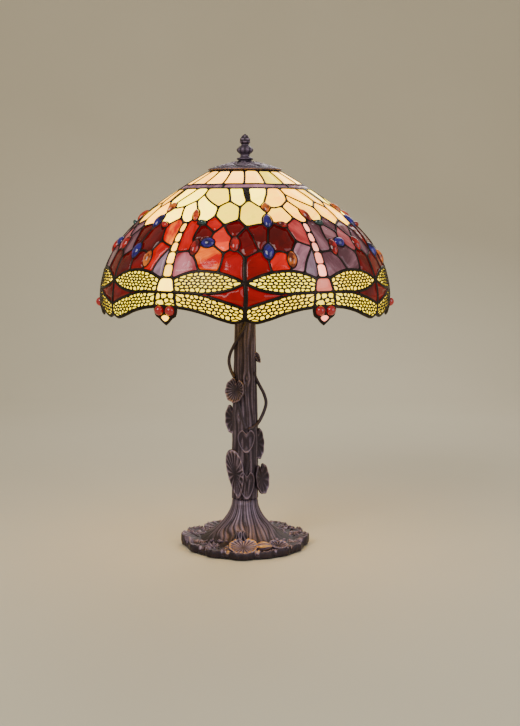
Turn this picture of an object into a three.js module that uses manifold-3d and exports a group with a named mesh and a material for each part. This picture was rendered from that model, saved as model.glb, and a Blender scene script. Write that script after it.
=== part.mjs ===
// Table lamp with a leaded art-glass dome shade on a cast tree-trunk column.
// Millimetres, +Z up, front towards -Y, origin on the table under the lamp's axis.

import * as THREE from 'three';
import { mergeVertices } from 'three/addons/utils/BufferGeometryUtils.js';
import Module from 'manifold-3d';

const wasm = await Module();
wasm.setup();

// ---------- driving dimensions ----------

const gap = 0.3;                      // clearance between pieces that touch

// foot
const feltInset = 2.6;                // inside the foot's edge
const feltThickness = 1.5;
const footRadius = 87;                // to the middle of the wavy edge
const footWave = 1.6;                 // how far the lily-pad lobes swing in and out
const footLobes = 9;
const footEdgeHeight = 10.5;
const footWall = 4;
const bossThickness = 8;              // under the trunk, clamped by the pipe's nut
const rootTop = 66;                   // where the root flare meets the trunk
const rootTopRadius = 17.6;
const flareShape = [                  // [share of the way out, share of the way up] to the trunk
  [0.784, 0.013],
  [0.611, 0.05],
  [0.438, 0.143],
  [0.301, 0.274],
  [0.186, 0.404],
  [0.099, 0.553],
  [0.042, 0.702],
  [0.009, 0.851],
];

// cord inlet in the foot's rear edge
const bushingBore = 2.6;
const bushingWall = 1.1;
const bushingFlange = 1.1;            // how far the flange stands past the barrel

// trunk
const trunkTop = 332;
const trunkWall = 4;
const drawnHeight = 266;              // of the trunk that its waist, vines and leaves are drawn on
const trunkWaist = [                  // [drawn height above the roots, radius]
  [0, 17.8],
  [34, 17.2],
  [80, 17.6],
  [134, 16.2],
  [176, 15],
  [236, 13.6],
];
const trunkTopRadius = 13.3;
const vineRadius = 2;

// threaded pipe and its hardware
const pipeRadius = 4.85;
const pipeBore = 3.4;
const pipeTail = 5;                   // thread showing below the base nut
const boreClearance = 0.45;           // round the pipe in everything it passes through
const nutAcross = 17;                 // across the flats
const nutHeight = 4.8;
const washerRadius = 11;
const washerThickness = 1.6;

// light cluster
const collarHeight = 13;
const collarRadius = 22;
const clusterRadius = 15;
const clusterHeight = 34;
const clusterCapHeight = 9;
const lampholderTilt = 30;            // degrees above the horizontal
const lampholderStandOff = 9;         // of the lampholder from the cluster's side, along itself
const lampholderWall = 1.4;
const insertWall = 3.6;
const insertFloor = 8;
const bulbCapClearance = 1.1;
const bulbRadius = 30;
const bulbLength = 76;                // glass only
const bulbNeck = 12;                  // straight part of the glass, inside the lampholder
const bulbCapRadius = 13.1;
const bulbCapLength = 25;

// dome of the shade: one curve from the crown to the rim, and its two handles
const crownRadius = 48.5;
const crownRise = 185.5;              // above the trunk's top
const rimRadius = 195;
const domeDrop = 192.5;               // from the crown down to the rim
const crownHandle = { out: 65.5, down: 37.5 };
const rimHandle = { out: 19, up: 97 };
const glassThickness = 3;

// bands of the shade, in millimetres from the crown down a dome that is patternLength long
const patternLength = 260;
const crownBandStart = 0.6;
const crownBandEnd = 37;
const borderEnd = 47.5;
const dragonflies = 6;
const seamWidth = 4.6;                // lead seam between two dragonfly repeats
const leadProud = 0.9;                // lead stands this far out of the glass
const rimWire = 2.8;

// [degrees from the dragonfly, distance down the dome]
const creamEdge = [
  [-30, 127], [-24, 123], [-19, 120], [-13, 119], [-8, 119], [-4, 113], [0, 120],
  [4, 119], [8.5, 119], [14.5, 109], [20, 125], [26, 116], [30, 127],
];
const wingTopEdge = [
  [-30, 205], [-24, 198.5], [-19, 194], [-13, 192.5], [-8, 195.5], [-4, 201], [0, 202],
  [4, 201], [8.5, 195.5], [14.5, 192.5], [20, 194.5], [26, 201], [30, 205],
];
const rimEdge = [
  [-30, 252], [-24, 255], [-19, 249], [-13, 242], [-8, 239], [-4, 245], [0, 256.5],
  [4, 245], [8.5, 239], [14.5, 243.5], [20, 250], [26, 256], [30, 252],
];

// top of the lamp
const riserRadius = 5;
const riserThreadRadius = 2.9;
const spiderThickness = 2.6;
const spiderBearing = 4;              // how far the crown ring laps over the spider
const spiderRingWidth = 4.5;
const spiderArms = 3;
const spiderArmWidth = 9;
const crownRingWidth = 9;             // inward from the crown, resting on the spider
const crownRingThickness = 2.2;
const capOverhang = 1.5;              // past the crown
const capWall = 1.6;
const capHubRadius = 9.4;
const capRise = 14;                   // from the cap's edge to the top of its hub
const finialHeight = 33.5;
const finialThread = 12;              // depth of the threaded hole

// ---------- what follows from them ----------

const boreRadius = pipeRadius + boreClearance;
const feltRadius = footRadius - feltInset;
const footZ = feltThickness + gap;
const footTop = footZ + footEdgeHeight;
const trunkZ = rootTop + gap;
const collarZ = trunkTop + gap;
const columnNutZ = collarZ + collarHeight + gap;
const clusterZ = columnNutZ + nutHeight + gap;
const clusterCapZ = clusterZ + clusterHeight + gap;
const lampholderZ = clusterZ + clusterHeight / 2;
const insertBore = bulbCapRadius + bulbCapClearance;
const insertRadius = insertBore + insertWall;
const lampholderRadius = insertRadius + gap + lampholderWall;
const lampholderStart = clusterRadius + lampholderStandOff;
const lampholderLength = lampholderWall + 3 * gap + insertFloor + bulbCapLength + bulbNeck;
const crownZ = trunkTop + crownRise;
const rimZ = crownZ - domeDrop;
const spiderRadius = crownRadius - crownRingWidth + spiderBearing;
const capRadius = crownRadius + capOverhang;
const crownRingZ = crownZ - crownRingThickness;
const spiderZ = crownRingZ - gap - spiderThickness;
const seatNutZ = spiderZ - gap - nutHeight;
const capZ = crownZ + gap + leadProud;
const finialZ = capZ + capRise + gap;

// ---------- materials ----------

function metal(color, roughness, metalness = 0.85) {
  return new THREE.MeshStandardMaterial({ color, roughness, metalness });
}

function glass(color, roughness = 0.15) {
  return new THREE.MeshStandardMaterial({ color, roughness, metalness: 0 });
}

const bronze = () => metal(0x4a3f42, 0.5);
const leadDark = () => metal(0x241c1a, 0.55, 0.7);
const plated = () => metal(0x9b9b98, 0.4);
const brassy = () => metal(0xa98a4c, 0.35);

// ---------- geometry helpers ----------

const lamp = new THREE.Group();

function piece(name, geometry, material, group = lamp) {
  const mesh = new THREE.Mesh(geometry, material);
  mesh.name = name;
  group.add(mesh);
  return mesh;
}

// a turned solid about +Z from [radius, height] points, which may close on themselves
function turned(profile, segments = 20) {
  let area = 0;
  profile.forEach(([r, z], i) => {
    const [nextR, nextZ] = profile[(i + 1) % profile.length];
    area += r * nextZ - nextR * z;
  });
  const ordered = area > 0 ? profile : [...profile].reverse();
  const points = ordered.map(([r, z]) => new THREE.Vector2(r, z));
  return new THREE.LatheGeometry(points, segments).rotateX(Math.PI / 2);
}

// a turned ring: its section is an outline off the axis, closed here
function ring(outline, segments = 20) {
  return turned([...outline, outline[0]], segments);
}

function tube(outer, inner, bottom, top, segments = 16) {
  return ring([[inner, bottom], [outer, bottom], [outer, top], [inner, top]], segments);
}

function hexNut(bore, z) {
  const corner = nutAcross / Math.sqrt(3);
  const outline = new THREE.Shape();
  for (let i = 0; i < 6; i++) {
    const angle = (i * Math.PI) / 3;
    const x = corner * Math.cos(angle);
    const y = corner * Math.sin(angle);
    if (i === 0) outline.moveTo(x, y);
    else outline.lineTo(x, y);
  }
  outline.closePath();
  outline.holes.push(new THREE.Path().absarc(0, 0, bore, 0, Math.PI * 2, true));
  const options = { depth: nutHeight, bevelEnabled: false, curveSegments: 6 };
  return new THREE.ExtrudeGeometry(outline, options).translate(0, 0, z);
}

function solid(geometry) {
  const plain = geometry.clone();
  plain.deleteAttribute('normal');
  plain.deleteAttribute('uv');
  const merged = mergeVertices(plain, 1e-3);
  return new wasm.Manifold(new wasm.Mesh({
    numProp: 3,
    vertProperties: merged.attributes.position.array,
    triVerts: new Uint32Array(merged.index.array),
  }));
}

function geometryOf(manifold) {
  const mesh = manifold.getMesh();
  const geometry = new THREE.BufferGeometry();
  geometry.setAttribute('position', new THREE.BufferAttribute(mesh.vertProperties, 3));
  geometry.setIndex(new THREE.BufferAttribute(mesh.triVerts, 1));
  geometry.computeVertexNormals();
  return geometry;
}

// ---------- foot ----------

const bossUnderside = rootTop - bossThickness;
const baseWasherZ = bossUnderside - gap - washerThickness;
const baseNutZ = baseWasherZ - gap - nutHeight;

const felt = turned([[0, 0], [feltRadius, 0], [feltRadius, feltThickness], [0, feltThickness]], 32);
piece('base_felt', felt, metal(0x2c2a2a, 0.95, 0));

// the flare's outside, from the foot's edge up to the trunk
const flare = flareShape.map(([out, up]) => [
  rootTopRadius + out * (footRadius - rootTopRadius),
  footTop + up * (rootTop - footTop),
]);

function footOutline() {
  const inside = [...flare].reverse().map(([r, z]) => [r - footWall, z - footWall]);
  return [
    [footRadius, footZ],
    [footRadius, footTop - 2],
    [footRadius - 2, footTop],
    ...flare,
    [rootTopRadius, rootTop],
    [boreRadius, rootTop],
    [boreRadius, bossUnderside],
    [rootTopRadius - footWall, bossUnderside],
    ...inside,
    [footRadius - footWall, footTop - footWall],
    [footRadius - footWall, footZ],
  ];
}

// the edge swings in and out in broad lobes that die away towards the roots
function waveEdge(geometry) {
  const position = geometry.attributes.position;
  for (let i = 0; i < position.count; i++) {
    const x = position.getX(i);
    const y = position.getY(i);
    const radius = Math.hypot(x, y);
    const share = THREE.MathUtils.smoothstep(radius, 0.7 * footRadius, footRadius);
    const angle = Math.atan2(y, x);
    const scale = 1 + (share * footWave * Math.cos(footLobes * angle)) / footRadius;
    position.setXY(i, x * scale, y * scale);
  }
  return geometry;
}

const inletZ = footZ + footEdgeHeight / 2 - 0.4;
const bushingRadius = bushingBore + bushingWall;
const inletDepth = 2 * (footWall + footWave + 3);

const inletRadius = bushingRadius + gap;
const inletHole = solid(new THREE.CylinderGeometry(inletRadius, inletRadius, inletDepth, 16)
  .translate(0, footRadius, inletZ));
const footSolid = solid(waveEdge(ring(footOutline(), 4 * footLobes))).subtract(inletHole);
piece('root_base', geometryOf(footSolid), bronze());

function bushing() {
  const flangeStart = 1 + gap;
  const outline = [
    [bushingBore, -footWall - 3],
    [bushingRadius, -footWall - 3],
    [bushingRadius, flangeStart],
    [bushingRadius + bushingFlange, flangeStart],
    [bushingRadius + bushingFlange, flangeStart + 1.6],
    [bushingBore, flangeStart + 1.6],
  ];
  // turned about +Z, then laid over to point out of the rear edge
  return ring(outline, 16).rotateX(-Math.PI / 2).translate(0, footRadius, inletZ);
}

piece('cord_bushing', bushing(), metal(0x151515, 0.6, 0));

piece('base_washer', tube(washerRadius, boreRadius, baseWasherZ, baseWasherZ + washerThickness), plated());
piece('base_nut', hexNut(boreRadius, baseNutZ), brassy());

const pipeBottom = baseNutZ - pipeTail;
const pipeTop = clusterZ + clusterHeight - 6;
piece('lamp_pipe', tube(pipeRadius, pipeBore, pipeBottom, pipeTop, 16), plated());

// ---------- trunk, with the vines and leaves that are cast onto it ----------

const trunkSides = [...trunkWaist, [drawnHeight, trunkTopRadius]];
const trunkStretch = (trunkTop - trunkZ) / drawnHeight;

// height on this trunk of a height above the roots on the drawn one
function climb(height) {
  return trunkZ + height * trunkStretch;
}

function trunkRadiusAt(height) {
  const i = trunkSides.findIndex(([above]) => above > height);
  const [lowHeight, lowRadius] = trunkSides[i - 1];
  const [highHeight, highRadius] = trunkSides[i];
  return THREE.MathUtils.mapLinear(height, lowHeight, highHeight, lowRadius, highRadius);
}

// a place by degrees round the trunk from the front, millimetres off its side, and height
function beside(degrees, off, height) {
  const angle = THREE.MathUtils.degToRad(degrees);
  const radius = trunkRadiusAt(height) + off;
  return [radius * Math.sin(angle), -radius * Math.cos(angle), climb(height)];
}

function trunkShell() {
  const outside = trunkSides.map(([height, r]) => [r, climb(height)]);
  const inside = outside.map(([r, z]) => [r - trunkWall, z]);
  inside[0][1] += trunkWall;
  inside[inside.length - 1][1] -= trunkWall;
  inside.reverse();
  return ring([
    ...outside,
    [boreRadius, trunkTop],
    [boreRadius, trunkTop - trunkWall],
    ...inside,
    [boreRadius, trunkZ + trunkWall],
    [boreRadius, trunkZ],
  ], 20);
}

// a stem of round section along such places
function vine(route) {
  const path = new THREE.CatmullRomCurve3(route.map((place) => new THREE.Vector3(...beside(...place))));
  const section = new THREE.Shape();
  section.absarc(0, 0, vineRadius, 0, Math.PI * 2);
  return new THREE.ExtrudeGeometry(section, {
    steps: 3 * (route.length - 1),
    curveSegments: 4,
    bevelEnabled: false,
    extrudePath: path,
  });
}

// a leaf is a flat pebble: [width, thickness, height], tilted, against the trunk's side
function leaf({ place, size, turn = 0, lean = 0 }) {
  const [width, thickness, height] = size;
  return new THREE.SphereGeometry(0.5, 10, 6)
    .scale(width, thickness, height * trunkStretch)
    .rotateY(THREE.MathUtils.degToRad(lean))
    .rotateZ(THREE.MathUtils.degToRad(turn))
    .translate(...beside(...place));
}

const vines = [
  vine([
    [-62, -0.7, 234], [-78, 1.5, 217], [-88, 6.6, 202],
    [-86, 6.8, 189], [-74, 3, 177], [-50, -2.2, 170],
  ]),
  vine([
    [62, -2.1, 172], [80, 1.7, 166], [90, 8.8, 152],
    [90, 11.9, 137], [88, 7.5, 122], [80, -2.8, 110],
  ]),
];

const leaves = [
  leaf({ place: [-38, 2.9, 155], size: [27, 6, 33], turn: -42, lean: -8 }),
  leaf({ place: [84, 0.5, 199], size: [9, 6, 17], turn: 60 }),
  leaf({ place: [-88, 0.2, 112], size: [17, 9, 42] }),
  leaf({ place: [4, -2, 84], size: [25, 6, 33] }),
  leaf({ place: [78, -1.6, 80], size: [12, 8, 44], turn: 20 }),
  leaf({ place: [-58, 1.8, 37], size: [30, 9, 64], turn: -40 }),
  leaf({ place: [12, -1.4, 24], size: [26, 8, 42] }),
  leaf({ place: [86, 2.2, 28], size: [23, 9, 46], turn: 10 }),
];

const trunkSolid = [...vines, ...leaves].reduce(
  (joined, shape) => joined.add(solid(shape)),
  solid(trunkShell()),
);
// leaves and vines are solid only outside the trunk's hollow
const trunkHollow = solid(turned([
  [0, trunkZ - 1],
  [boreRadius, trunkZ - 1],
  [boreRadius, trunkZ + trunkWall],
  ...trunkWaist.map(([height, r], i) => [r - trunkWall, i === 0 ? trunkZ + trunkWall : climb(height)]),
  [trunkTopRadius - trunkWall, trunkTop - trunkWall],
  [boreRadius, trunkTop - trunkWall],
  [boreRadius, trunkTop + 1],
  [0, trunkTop + 1],
], 20));
piece('trunk', geometryOf(trunkSolid.subtract(trunkHollow)), bronze());

// ---------- collar, cluster and lampholders ----------

piece('column_collar', ring([
  [boreRadius, collarZ],
  [trunkTopRadius, collarZ],
  [trunkTopRadius + 1.5, collarZ + 3],
  [collarRadius * 0.75, collarZ + 7],
  [collarRadius, collarZ + collarHeight - 1],
  [collarRadius - 1, collarZ + collarHeight],
  [boreRadius, collarZ + collarHeight],
]), bronze());
piece('column_nut', hexNut(boreRadius, columnNutZ), brassy());

const clusterBoreRadius = Math.max(pipeRadius, riserRadius) + boreClearance;
const clusterBoreLength = clusterHeight + 2;
const clusterBore = solid(
  new THREE.CylinderGeometry(clusterBoreRadius, clusterBoreRadius, clusterBoreLength, 16)
    .rotateX(Math.PI / 2)
    .translate(0, 0, lampholderZ),
);
const lampholderNeck = lampholderStart - gap;

function clusterBody() {
  const drum = solid(turned([
    [0, clusterZ],
    [clusterRadius - 3, clusterZ],
    [clusterRadius, clusterZ + 4],
    [clusterRadius, clusterZ + clusterHeight - 4],
    [clusterRadius - 3, clusterZ + clusterHeight],
    [0, clusterZ + clusterHeight],
  ]));
  const arms = [-1, 1].map((side) => solid(new THREE.CylinderGeometry(6, 6, lampholderNeck, 16)
    .translate(0, lampholderNeck / 2, 0)
    .rotateZ(-side * THREE.MathUtils.degToRad(90 - lampholderTilt))
    .rotateX(Math.PI / 2)
    .translate(0, 0, lampholderZ)));
  return geometryOf(drum.add(arms[0]).add(arms[1]).subtract(clusterBore));
}

piece('cluster_body', clusterBody(), bronze());

const riserBottom = pipeTop + gap;
piece('cluster_cap', ring([
  [riserRadius + boreClearance, clusterCapZ],
  [clusterRadius, clusterCapZ],
  [clusterRadius - 1, clusterCapZ + 3],
  [clusterRadius * 0.6, clusterCapZ + clusterCapHeight],
  [riserRadius + boreClearance, clusterCapZ + clusterCapHeight],
]), bronze());

const insertLength = lampholderLength - lampholderWall - 2 * gap;
const bulbCapZ = lampholderWall + gap + insertFloor + gap;
const bulbGlassZ = bulbCapZ + bulbCapLength + gap;

// a lampholder and its bulb are drawn along +Z and swung out by their group
[-1, 1].forEach((side, i) => {
  const holder = new THREE.Group();
  const swing = THREE.MathUtils.degToRad(90 - lampholderTilt);
  holder.rotation.y = side * swing;
  holder.position.set(
    side * lampholderStart * Math.sin(swing),
    0,
    lampholderZ + lampholderStart * Math.cos(swing),
  );
  lamp.add(holder);
  const number = i + 1;

  piece(`lampholder_shell_${number}`, turned([
    [0, 0],
    [lampholderRadius - 4, 0],
    [lampholderRadius, 6],
    [lampholderRadius, lampholderLength],
    [lampholderRadius - lampholderWall, lampholderLength],
    [lampholderRadius - lampholderWall, 6],
    [lampholderRadius - 4 - lampholderWall, lampholderWall],
    [0, lampholderWall],
  ]), brassy(), holder);

  const insertZ = lampholderWall + gap;
  piece(`lampholder_insert_${number}`, turned([
    [0, insertZ],
    [insertRadius - 5, insertZ],
    [insertRadius, insertZ + 6],
    [insertRadius, insertZ + insertLength],
    [insertBore, insertZ + insertLength],
    [insertBore, insertZ + insertFloor],
    [0, insertZ + insertFloor],
  ]), glass(0xeeeae0, 0.3), holder);

  piece(`bulb_cap_${number}`, turned([
    [0, bulbCapZ],
    [4, bulbCapZ],
    [bulbCapRadius, bulbCapZ + 5],
    [bulbCapRadius, bulbCapZ + bulbCapLength],
    [0, bulbCapZ + bulbCapLength],
  ], 16), plated(), holder);

  const neck = bulbCapRadius - 0.6;
  piece(`bulb_glass_${number}`, turned([
    [0, bulbGlassZ],
    [neck, bulbGlassZ],
    [neck + 0.5, bulbGlassZ + bulbNeck],
    [bulbRadius * 0.68, bulbGlassZ + bulbLength * 0.34],
    [bulbRadius * 0.93, bulbGlassZ + bulbLength * 0.48],
    [bulbRadius, bulbGlassZ + bulbLength * 0.62],
    [bulbRadius * 0.94, bulbGlassZ + bulbLength * 0.77],
    [bulbRadius * 0.72, bulbGlassZ + bulbLength * 0.9],
    [bulbRadius * 0.38, bulbGlassZ + bulbLength * 0.98],
    [0, bulbGlassZ + bulbLength],
  ], 16), glass(0xfff3d6, 0.4), holder);
});

// ---------- riser and the spider that carries the shade ----------

const threadTop = finialZ + finialThread - gap;
const riserShoulder = capZ + capRise - 3;
piece('riser_rod', turned([
  [0, riserBottom],
  [riserRadius, riserBottom],
  [riserRadius, riserShoulder],
  [riserThreadRadius, riserShoulder],
  [riserThreadRadius, threadTop],
  [0, threadTop],
], 16), plated());

const riserHole = riserRadius + boreClearance;
piece('spider_seat_nut', hexNut(riserHole, seatNutZ), brassy());

function spiderPlate() {
  const plate = new THREE.Shape();
  plate.absarc(0, 0, spiderRadius, 0, Math.PI * 2);
  plate.holes.push(new THREE.Path().absarc(0, 0, riserHole, 0, Math.PI * 2, true));
  const windowOuter = spiderRadius - spiderRingWidth;
  const windowInner = nutAcross / 2 + 3;
  for (let i = 0; i < spiderArms; i++) {
    const middle = ((i + 0.5) * Math.PI * 2) / spiderArms;
    const spread = Math.PI / spiderArms;
    const outerEdge = spread - spiderArmWidth / 2 / windowOuter;
    const innerEdge = spread - spiderArmWidth / 2 / windowInner;
    const hole = new THREE.Path();
    hole.absarc(0, 0, windowOuter, middle + outerEdge, middle - outerEdge, true);
    hole.absarc(0, 0, windowInner, middle - innerEdge, middle + innerEdge, false);
    hole.closePath();
    plate.holes.push(hole);
  }
  const options = { depth: spiderThickness, bevelEnabled: false, curveSegments: 6 };
  return new THREE.ExtrudeGeometry(plate, options).translate(0, 0, spiderZ);
}

piece('shade_spider', spiderPlate(), brassy());
piece('spider_lock_nut', hexNut(riserHole, spiderZ + spiderThickness + gap), brassy());

// ---------- shade ----------

const dome = new THREE.CubicBezierCurve(
  new THREE.Vector2(crownRadius, crownZ),
  new THREE.Vector2(crownRadius + crownHandle.out, crownZ - crownHandle.down),
  new THREE.Vector2(rimRadius + rimHandle.out, rimZ + rimHandle.up),
  new THREE.Vector2(rimRadius, rimZ),
);
// radius and height at a distance down the drawn dome, sunk below the outer face by depth
function domeSection(down, depth) {
  const share = Math.min(down / patternLength, 1);
  const point = dome.getPointAt(share);
  const tangent = dome.getTangentAt(share);
  return [point.x + tangent.y * depth, point.y - tangent.x * depth];
}

function domePoint(degrees, down, depth) {
  const [radius, z] = domeSection(down, depth);
  const angle = THREE.MathUtils.degToRad(degrees);
  return [radius * Math.sin(angle), -radius * Math.cos(angle), z];
}

function domeRing(start, end, depths, steps, segments) {
  const outside = [];
  const inside = [];
  for (let i = 0; i <= steps; i++) {
    const down = start + ((end - start) * i) / steps;
    outside.push(domeSection(down, depths[0]));
    inside.unshift(domeSection(down, depths[1]));
  }
  return ring([...outside, ...inside], segments);
}

// a block bent onto the dome: columns are angles, and the edges give each one's top and bottom
function domeBlock(columns, topAt, bottomAt, rows, depths, angleAt = (degrees) => degrees) {
  const geometry = new THREE.BoxGeometry(1, 1, 1, columns.length - 1, rows, 1);
  const position = geometry.attributes.position;
  for (let i = 0; i < position.count; i++) {
    const column = Math.round((position.getX(i) + 0.5) * (columns.length - 1));
    const along = position.getY(i) + 0.5;
    const depth = position.getZ(i) < 0 ? depths[0] : depths[1];
    const top = topAt(column);
    const down = top + (bottomAt(column) - top) * along;
    position.setXYZ(i, ...domePoint(angleAt(columns[column], down), down, depth));
  }
  geometry.computeVertexNormals();
  return geometry;
}

piece('crown_ring', ring([
  [crownRadius - crownRingWidth, crownRingZ],
  [crownRadius - 1, crownRingZ],
  [crownRadius, crownZ],
  [crownRadius - crownRingWidth, crownZ],
], 30), brassy());

const glassDepths = [0, glassThickness];
piece('crown_glass', domeRing(crownBandStart, crownBandEnd, glassDepths, 2, 30), glass(0xffe2b0));
piece('border_glass', domeRing(crownBandEnd + gap, borderEnd, glassDepths, 1, 30), glass(0xa88bb0));

const columns = creamEdge.map(([degrees]) => degrees);
const halfRepeat = 180 / dragonflies;
const lastColumn = columns.length - 1;
const panelStart = borderEnd + gap;

// panels stop short of the lead seam that lies between two repeats
function besideSeam(degrees, down) {
  if (Math.abs(degrees) < halfRepeat) return degrees;
  const [radius] = domeSection(down, 0);
  const room = THREE.MathUtils.radToDeg((seamWidth / 2 + gap) / radius);
  return degrees - Math.sign(degrees) * room;
}

const edgeOf = (line, shift = 0) => (column) => line[column][1] + shift;

const bands = [
  { name: 'upper_glass', top: () => panelStart, bottom: edgeOf(creamEdge, -gap), rows: 3, tint: 0xffdf9a },
  { name: 'field_glass', top: edgeOf(creamEdge), bottom: edgeOf(wingTopEdge, -gap), rows: 4, tint: 0xa81f1c },
  { name: 'dragonfly_glass', top: edgeOf(wingTopEdge), bottom: edgeOf(rimEdge), rows: 3, tint: 0xe6d58c },
];

for (let i = 0; i < dragonflies; i++) {
  const repeat = new THREE.Group();
  // the first repeat is centred half a repeat to the left of the front
  repeat.rotation.z = THREE.MathUtils.degToRad((2 * i - 1) * halfRepeat);
  lamp.add(repeat);
  bands.forEach(({ name, top, bottom, rows, tint }) => {
    const panel = domeBlock(columns, top, bottom, rows, glassDepths, besideSeam);
    piece(`${name}_${i + 1}`, panel, glass(tint), repeat);
  });
  const seamSpread = (degrees, down) => {
    const [radius] = domeSection(down, 0);
    return halfRepeat + Math.sign(degrees) * THREE.MathUtils.radToDeg(seamWidth / 2 / radius);
  };
  const seam = domeBlock(
    [-1, 1],
    () => panelStart,
    () => rimEdge[lastColumn][1] - gap,
    8,
    [-leadProud, glassThickness + leadProud],
    seamSpread,
  );
  piece(`seam_lead_${i + 1}`, seam, leadDark(), repeat);
}

// the rim wire runs all round under the glass, its two ends meeting at the rear
function rimWireBlock() {
  const angles = [];
  const edges = [];
  for (let i = 0; i < dragonflies; i++) {
    rimEdge.slice(0, -1).forEach(([degrees, down]) => {
      angles.push(degrees + (2 * i + 1) * halfRepeat - 180);
      edges.push(down);
    });
  }
  angles.push(180);
  edges.push(rimEdge[lastColumn][1]);
  const jointGap = THREE.MathUtils.radToDeg(gap / 2 / rimRadius);
  angles[0] += jointGap;
  angles[angles.length - 1] -= jointGap;
  return domeBlock(
    angles,
    (column) => edges[column] + gap,
    (column) => edges[column] + gap + rimWire,
    1,
    [-leadProud, glassThickness + leadProud],
  );
}

piece('rim_wire', rimWireBlock(), leadDark());

// ---------- cap and finial ----------

const capShoulder = capHubRadius + 5;
piece('shade_cap', ring([
  [capRadius - 2, capZ],
  [capRadius, capZ + 1],
  [capRadius - 1, capZ + 2.4],
  [capRadius - 12, capZ + 5],
  [capRadius * 0.48, capZ + 8.6],
  [capShoulder, capZ + 10],
  [capHubRadius, capZ + 11],
  [capHubRadius, capZ + capRise],
  [riserHole, capZ + capRise],
  [riserHole, capZ + capRise - 4],
  [capShoulder - 2, capZ + 10 - capWall - 1],
  [capRadius * 0.48, capZ + 8.6 - capWall],
  [capRadius - 12, capZ + 5 - capWall],
  [capRadius - 4, capZ + 1.2],
], 28), bronze());

const bud = finialZ + finialHeight;
piece('finial', turned([
  [0, finialZ + finialThread],
  [riserThreadRadius + gap, finialZ + finialThread],
  [riserThreadRadius + gap, finialZ],
  [7.6, finialZ],
  [11.3, finialZ + 1.6],
  [10.2, finialZ + 3.2],
  [6.4, finialZ + 4.8],
  [6.2, finialZ + 8],
  [10.4, finialZ + 11.4],
  [11, finialZ + 13.8],
  [8.6, finialZ + 17],
  [5.2, finialZ + 19.6],
  [7.2, finialZ + 23],
  [6.4, finialZ + 27],
  [3.6, bud - 3],
  [0, bud],
], 16), bronze());

export default lamp;
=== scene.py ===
import math
import random

import bmesh
import bpy
import numpy as np
from mathutils import Matrix, Vector
from mathutils.geometry import delaunay_2d_cdt


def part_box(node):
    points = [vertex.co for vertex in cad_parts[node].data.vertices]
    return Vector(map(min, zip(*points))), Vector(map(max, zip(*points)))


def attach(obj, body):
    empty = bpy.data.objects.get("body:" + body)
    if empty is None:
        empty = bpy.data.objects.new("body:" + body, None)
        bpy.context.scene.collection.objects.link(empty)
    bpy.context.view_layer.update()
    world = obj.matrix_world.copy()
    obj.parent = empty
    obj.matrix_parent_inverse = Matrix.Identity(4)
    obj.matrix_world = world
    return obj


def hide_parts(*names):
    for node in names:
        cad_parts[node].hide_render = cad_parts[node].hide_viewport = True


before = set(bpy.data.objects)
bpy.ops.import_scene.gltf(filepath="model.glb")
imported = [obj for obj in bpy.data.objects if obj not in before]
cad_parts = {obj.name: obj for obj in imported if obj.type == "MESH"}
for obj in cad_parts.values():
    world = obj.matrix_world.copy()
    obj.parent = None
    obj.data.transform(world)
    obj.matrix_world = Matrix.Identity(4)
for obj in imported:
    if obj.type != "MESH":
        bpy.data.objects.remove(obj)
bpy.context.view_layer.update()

# ---------------------------------------------------------------------------------------------
# Viewpoint, floor and studio light. A person standing a step and a half away looks slightly
# down at the lamp. The floor is a pale sheet that curves up behind it, and soft boxes light it.

VIEW_DISTANCE = 1.58
VIEW_HEIGHT = 0.45
VIEW_TILT = math.radians(7)
LENS_LENGTH = 57.0248
SIDE_SHIFT = 0.0206612

camera = bpy.data.objects.new("camera", bpy.data.cameras.new("camera"))
camera.location = (0, -VIEW_DISTANCE, VIEW_HEIGHT)
camera.rotation_euler = (math.pi / 2 - VIEW_TILT, 0, 0)
camera.data.lens = LENS_LENGTH
camera.data.shift_x = SIDE_SHIFT
bpy.context.collection.objects.link(camera)
bpy.context.scene.camera = camera


def soft_box(name, place, target, size, watts, colour):
    light = bpy.data.lights.new(name, "AREA")
    light.size = size
    light.energy = watts
    light.color = colour
    lamp = bpy.data.objects.new(name, light)
    lamp.location = place
    lamp.rotation_euler = (Vector(target) - Vector(place)).to_track_quat("-Z", "Y").to_euler()
    bpy.context.collection.objects.link(lamp)


soft_box("key_light", (-0.9, -1.3, 1.3), (0, 0, 0.25), 0.9, 16, (1.0, 0.96, 0.9))
soft_box("fill_light", (1.3, -0.9, 0.8), (0, 0, 0.3), 1.2, 8, (0.9, 0.93, 1.0))
soft_box("back_light", (0.3, 1.3, 1.2), (0, 0, 0.3), 1.0, 9, (1.0, 0.97, 0.93))

world = bpy.data.worlds.new("studio")
world.use_nodes = True
world.node_tree.nodes["Background"].inputs["Color"].default_value = (0.72, 0.66, 0.55, 1)
world.node_tree.nodes["Background"].inputs["Strength"].default_value = 0.55
bpy.context.scene.world = world


class Quantity:
    """A socket's value in a shader, or in a geometry tree, that Python's operators work on."""

    def __init__(self, tree, socket):
        self.tree = tree
        self.socket = socket

    def maths(self, operation, *values):
        node = self.tree.nodes.new("ShaderNodeMath")
        node.operation = operation
        for slot, value in zip(node.inputs, values):
            if isinstance(value, Quantity):
                self.tree.links.new(value.socket, slot)
            else:
                slot.default_value = value
        return Quantity(self.tree, node.outputs[0])

    def __add__(self, other):
        return self.maths("ADD", self, other)

    __radd__ = __add__

    def __mul__(self, other):
        return self.maths("MULTIPLY", self, other)

    def __sub__(self, other):
        return self.maths("SUBTRACT", self, other)

    def __rsub__(self, other):
        return self.maths("SUBTRACT", other, self)

    def sine(self):
        return self.maths("SINE", self)

    def clamped(self):
        return self.maths("MINIMUM", self.maths("MAXIMUM", self, 0.0), 1.0)


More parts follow.
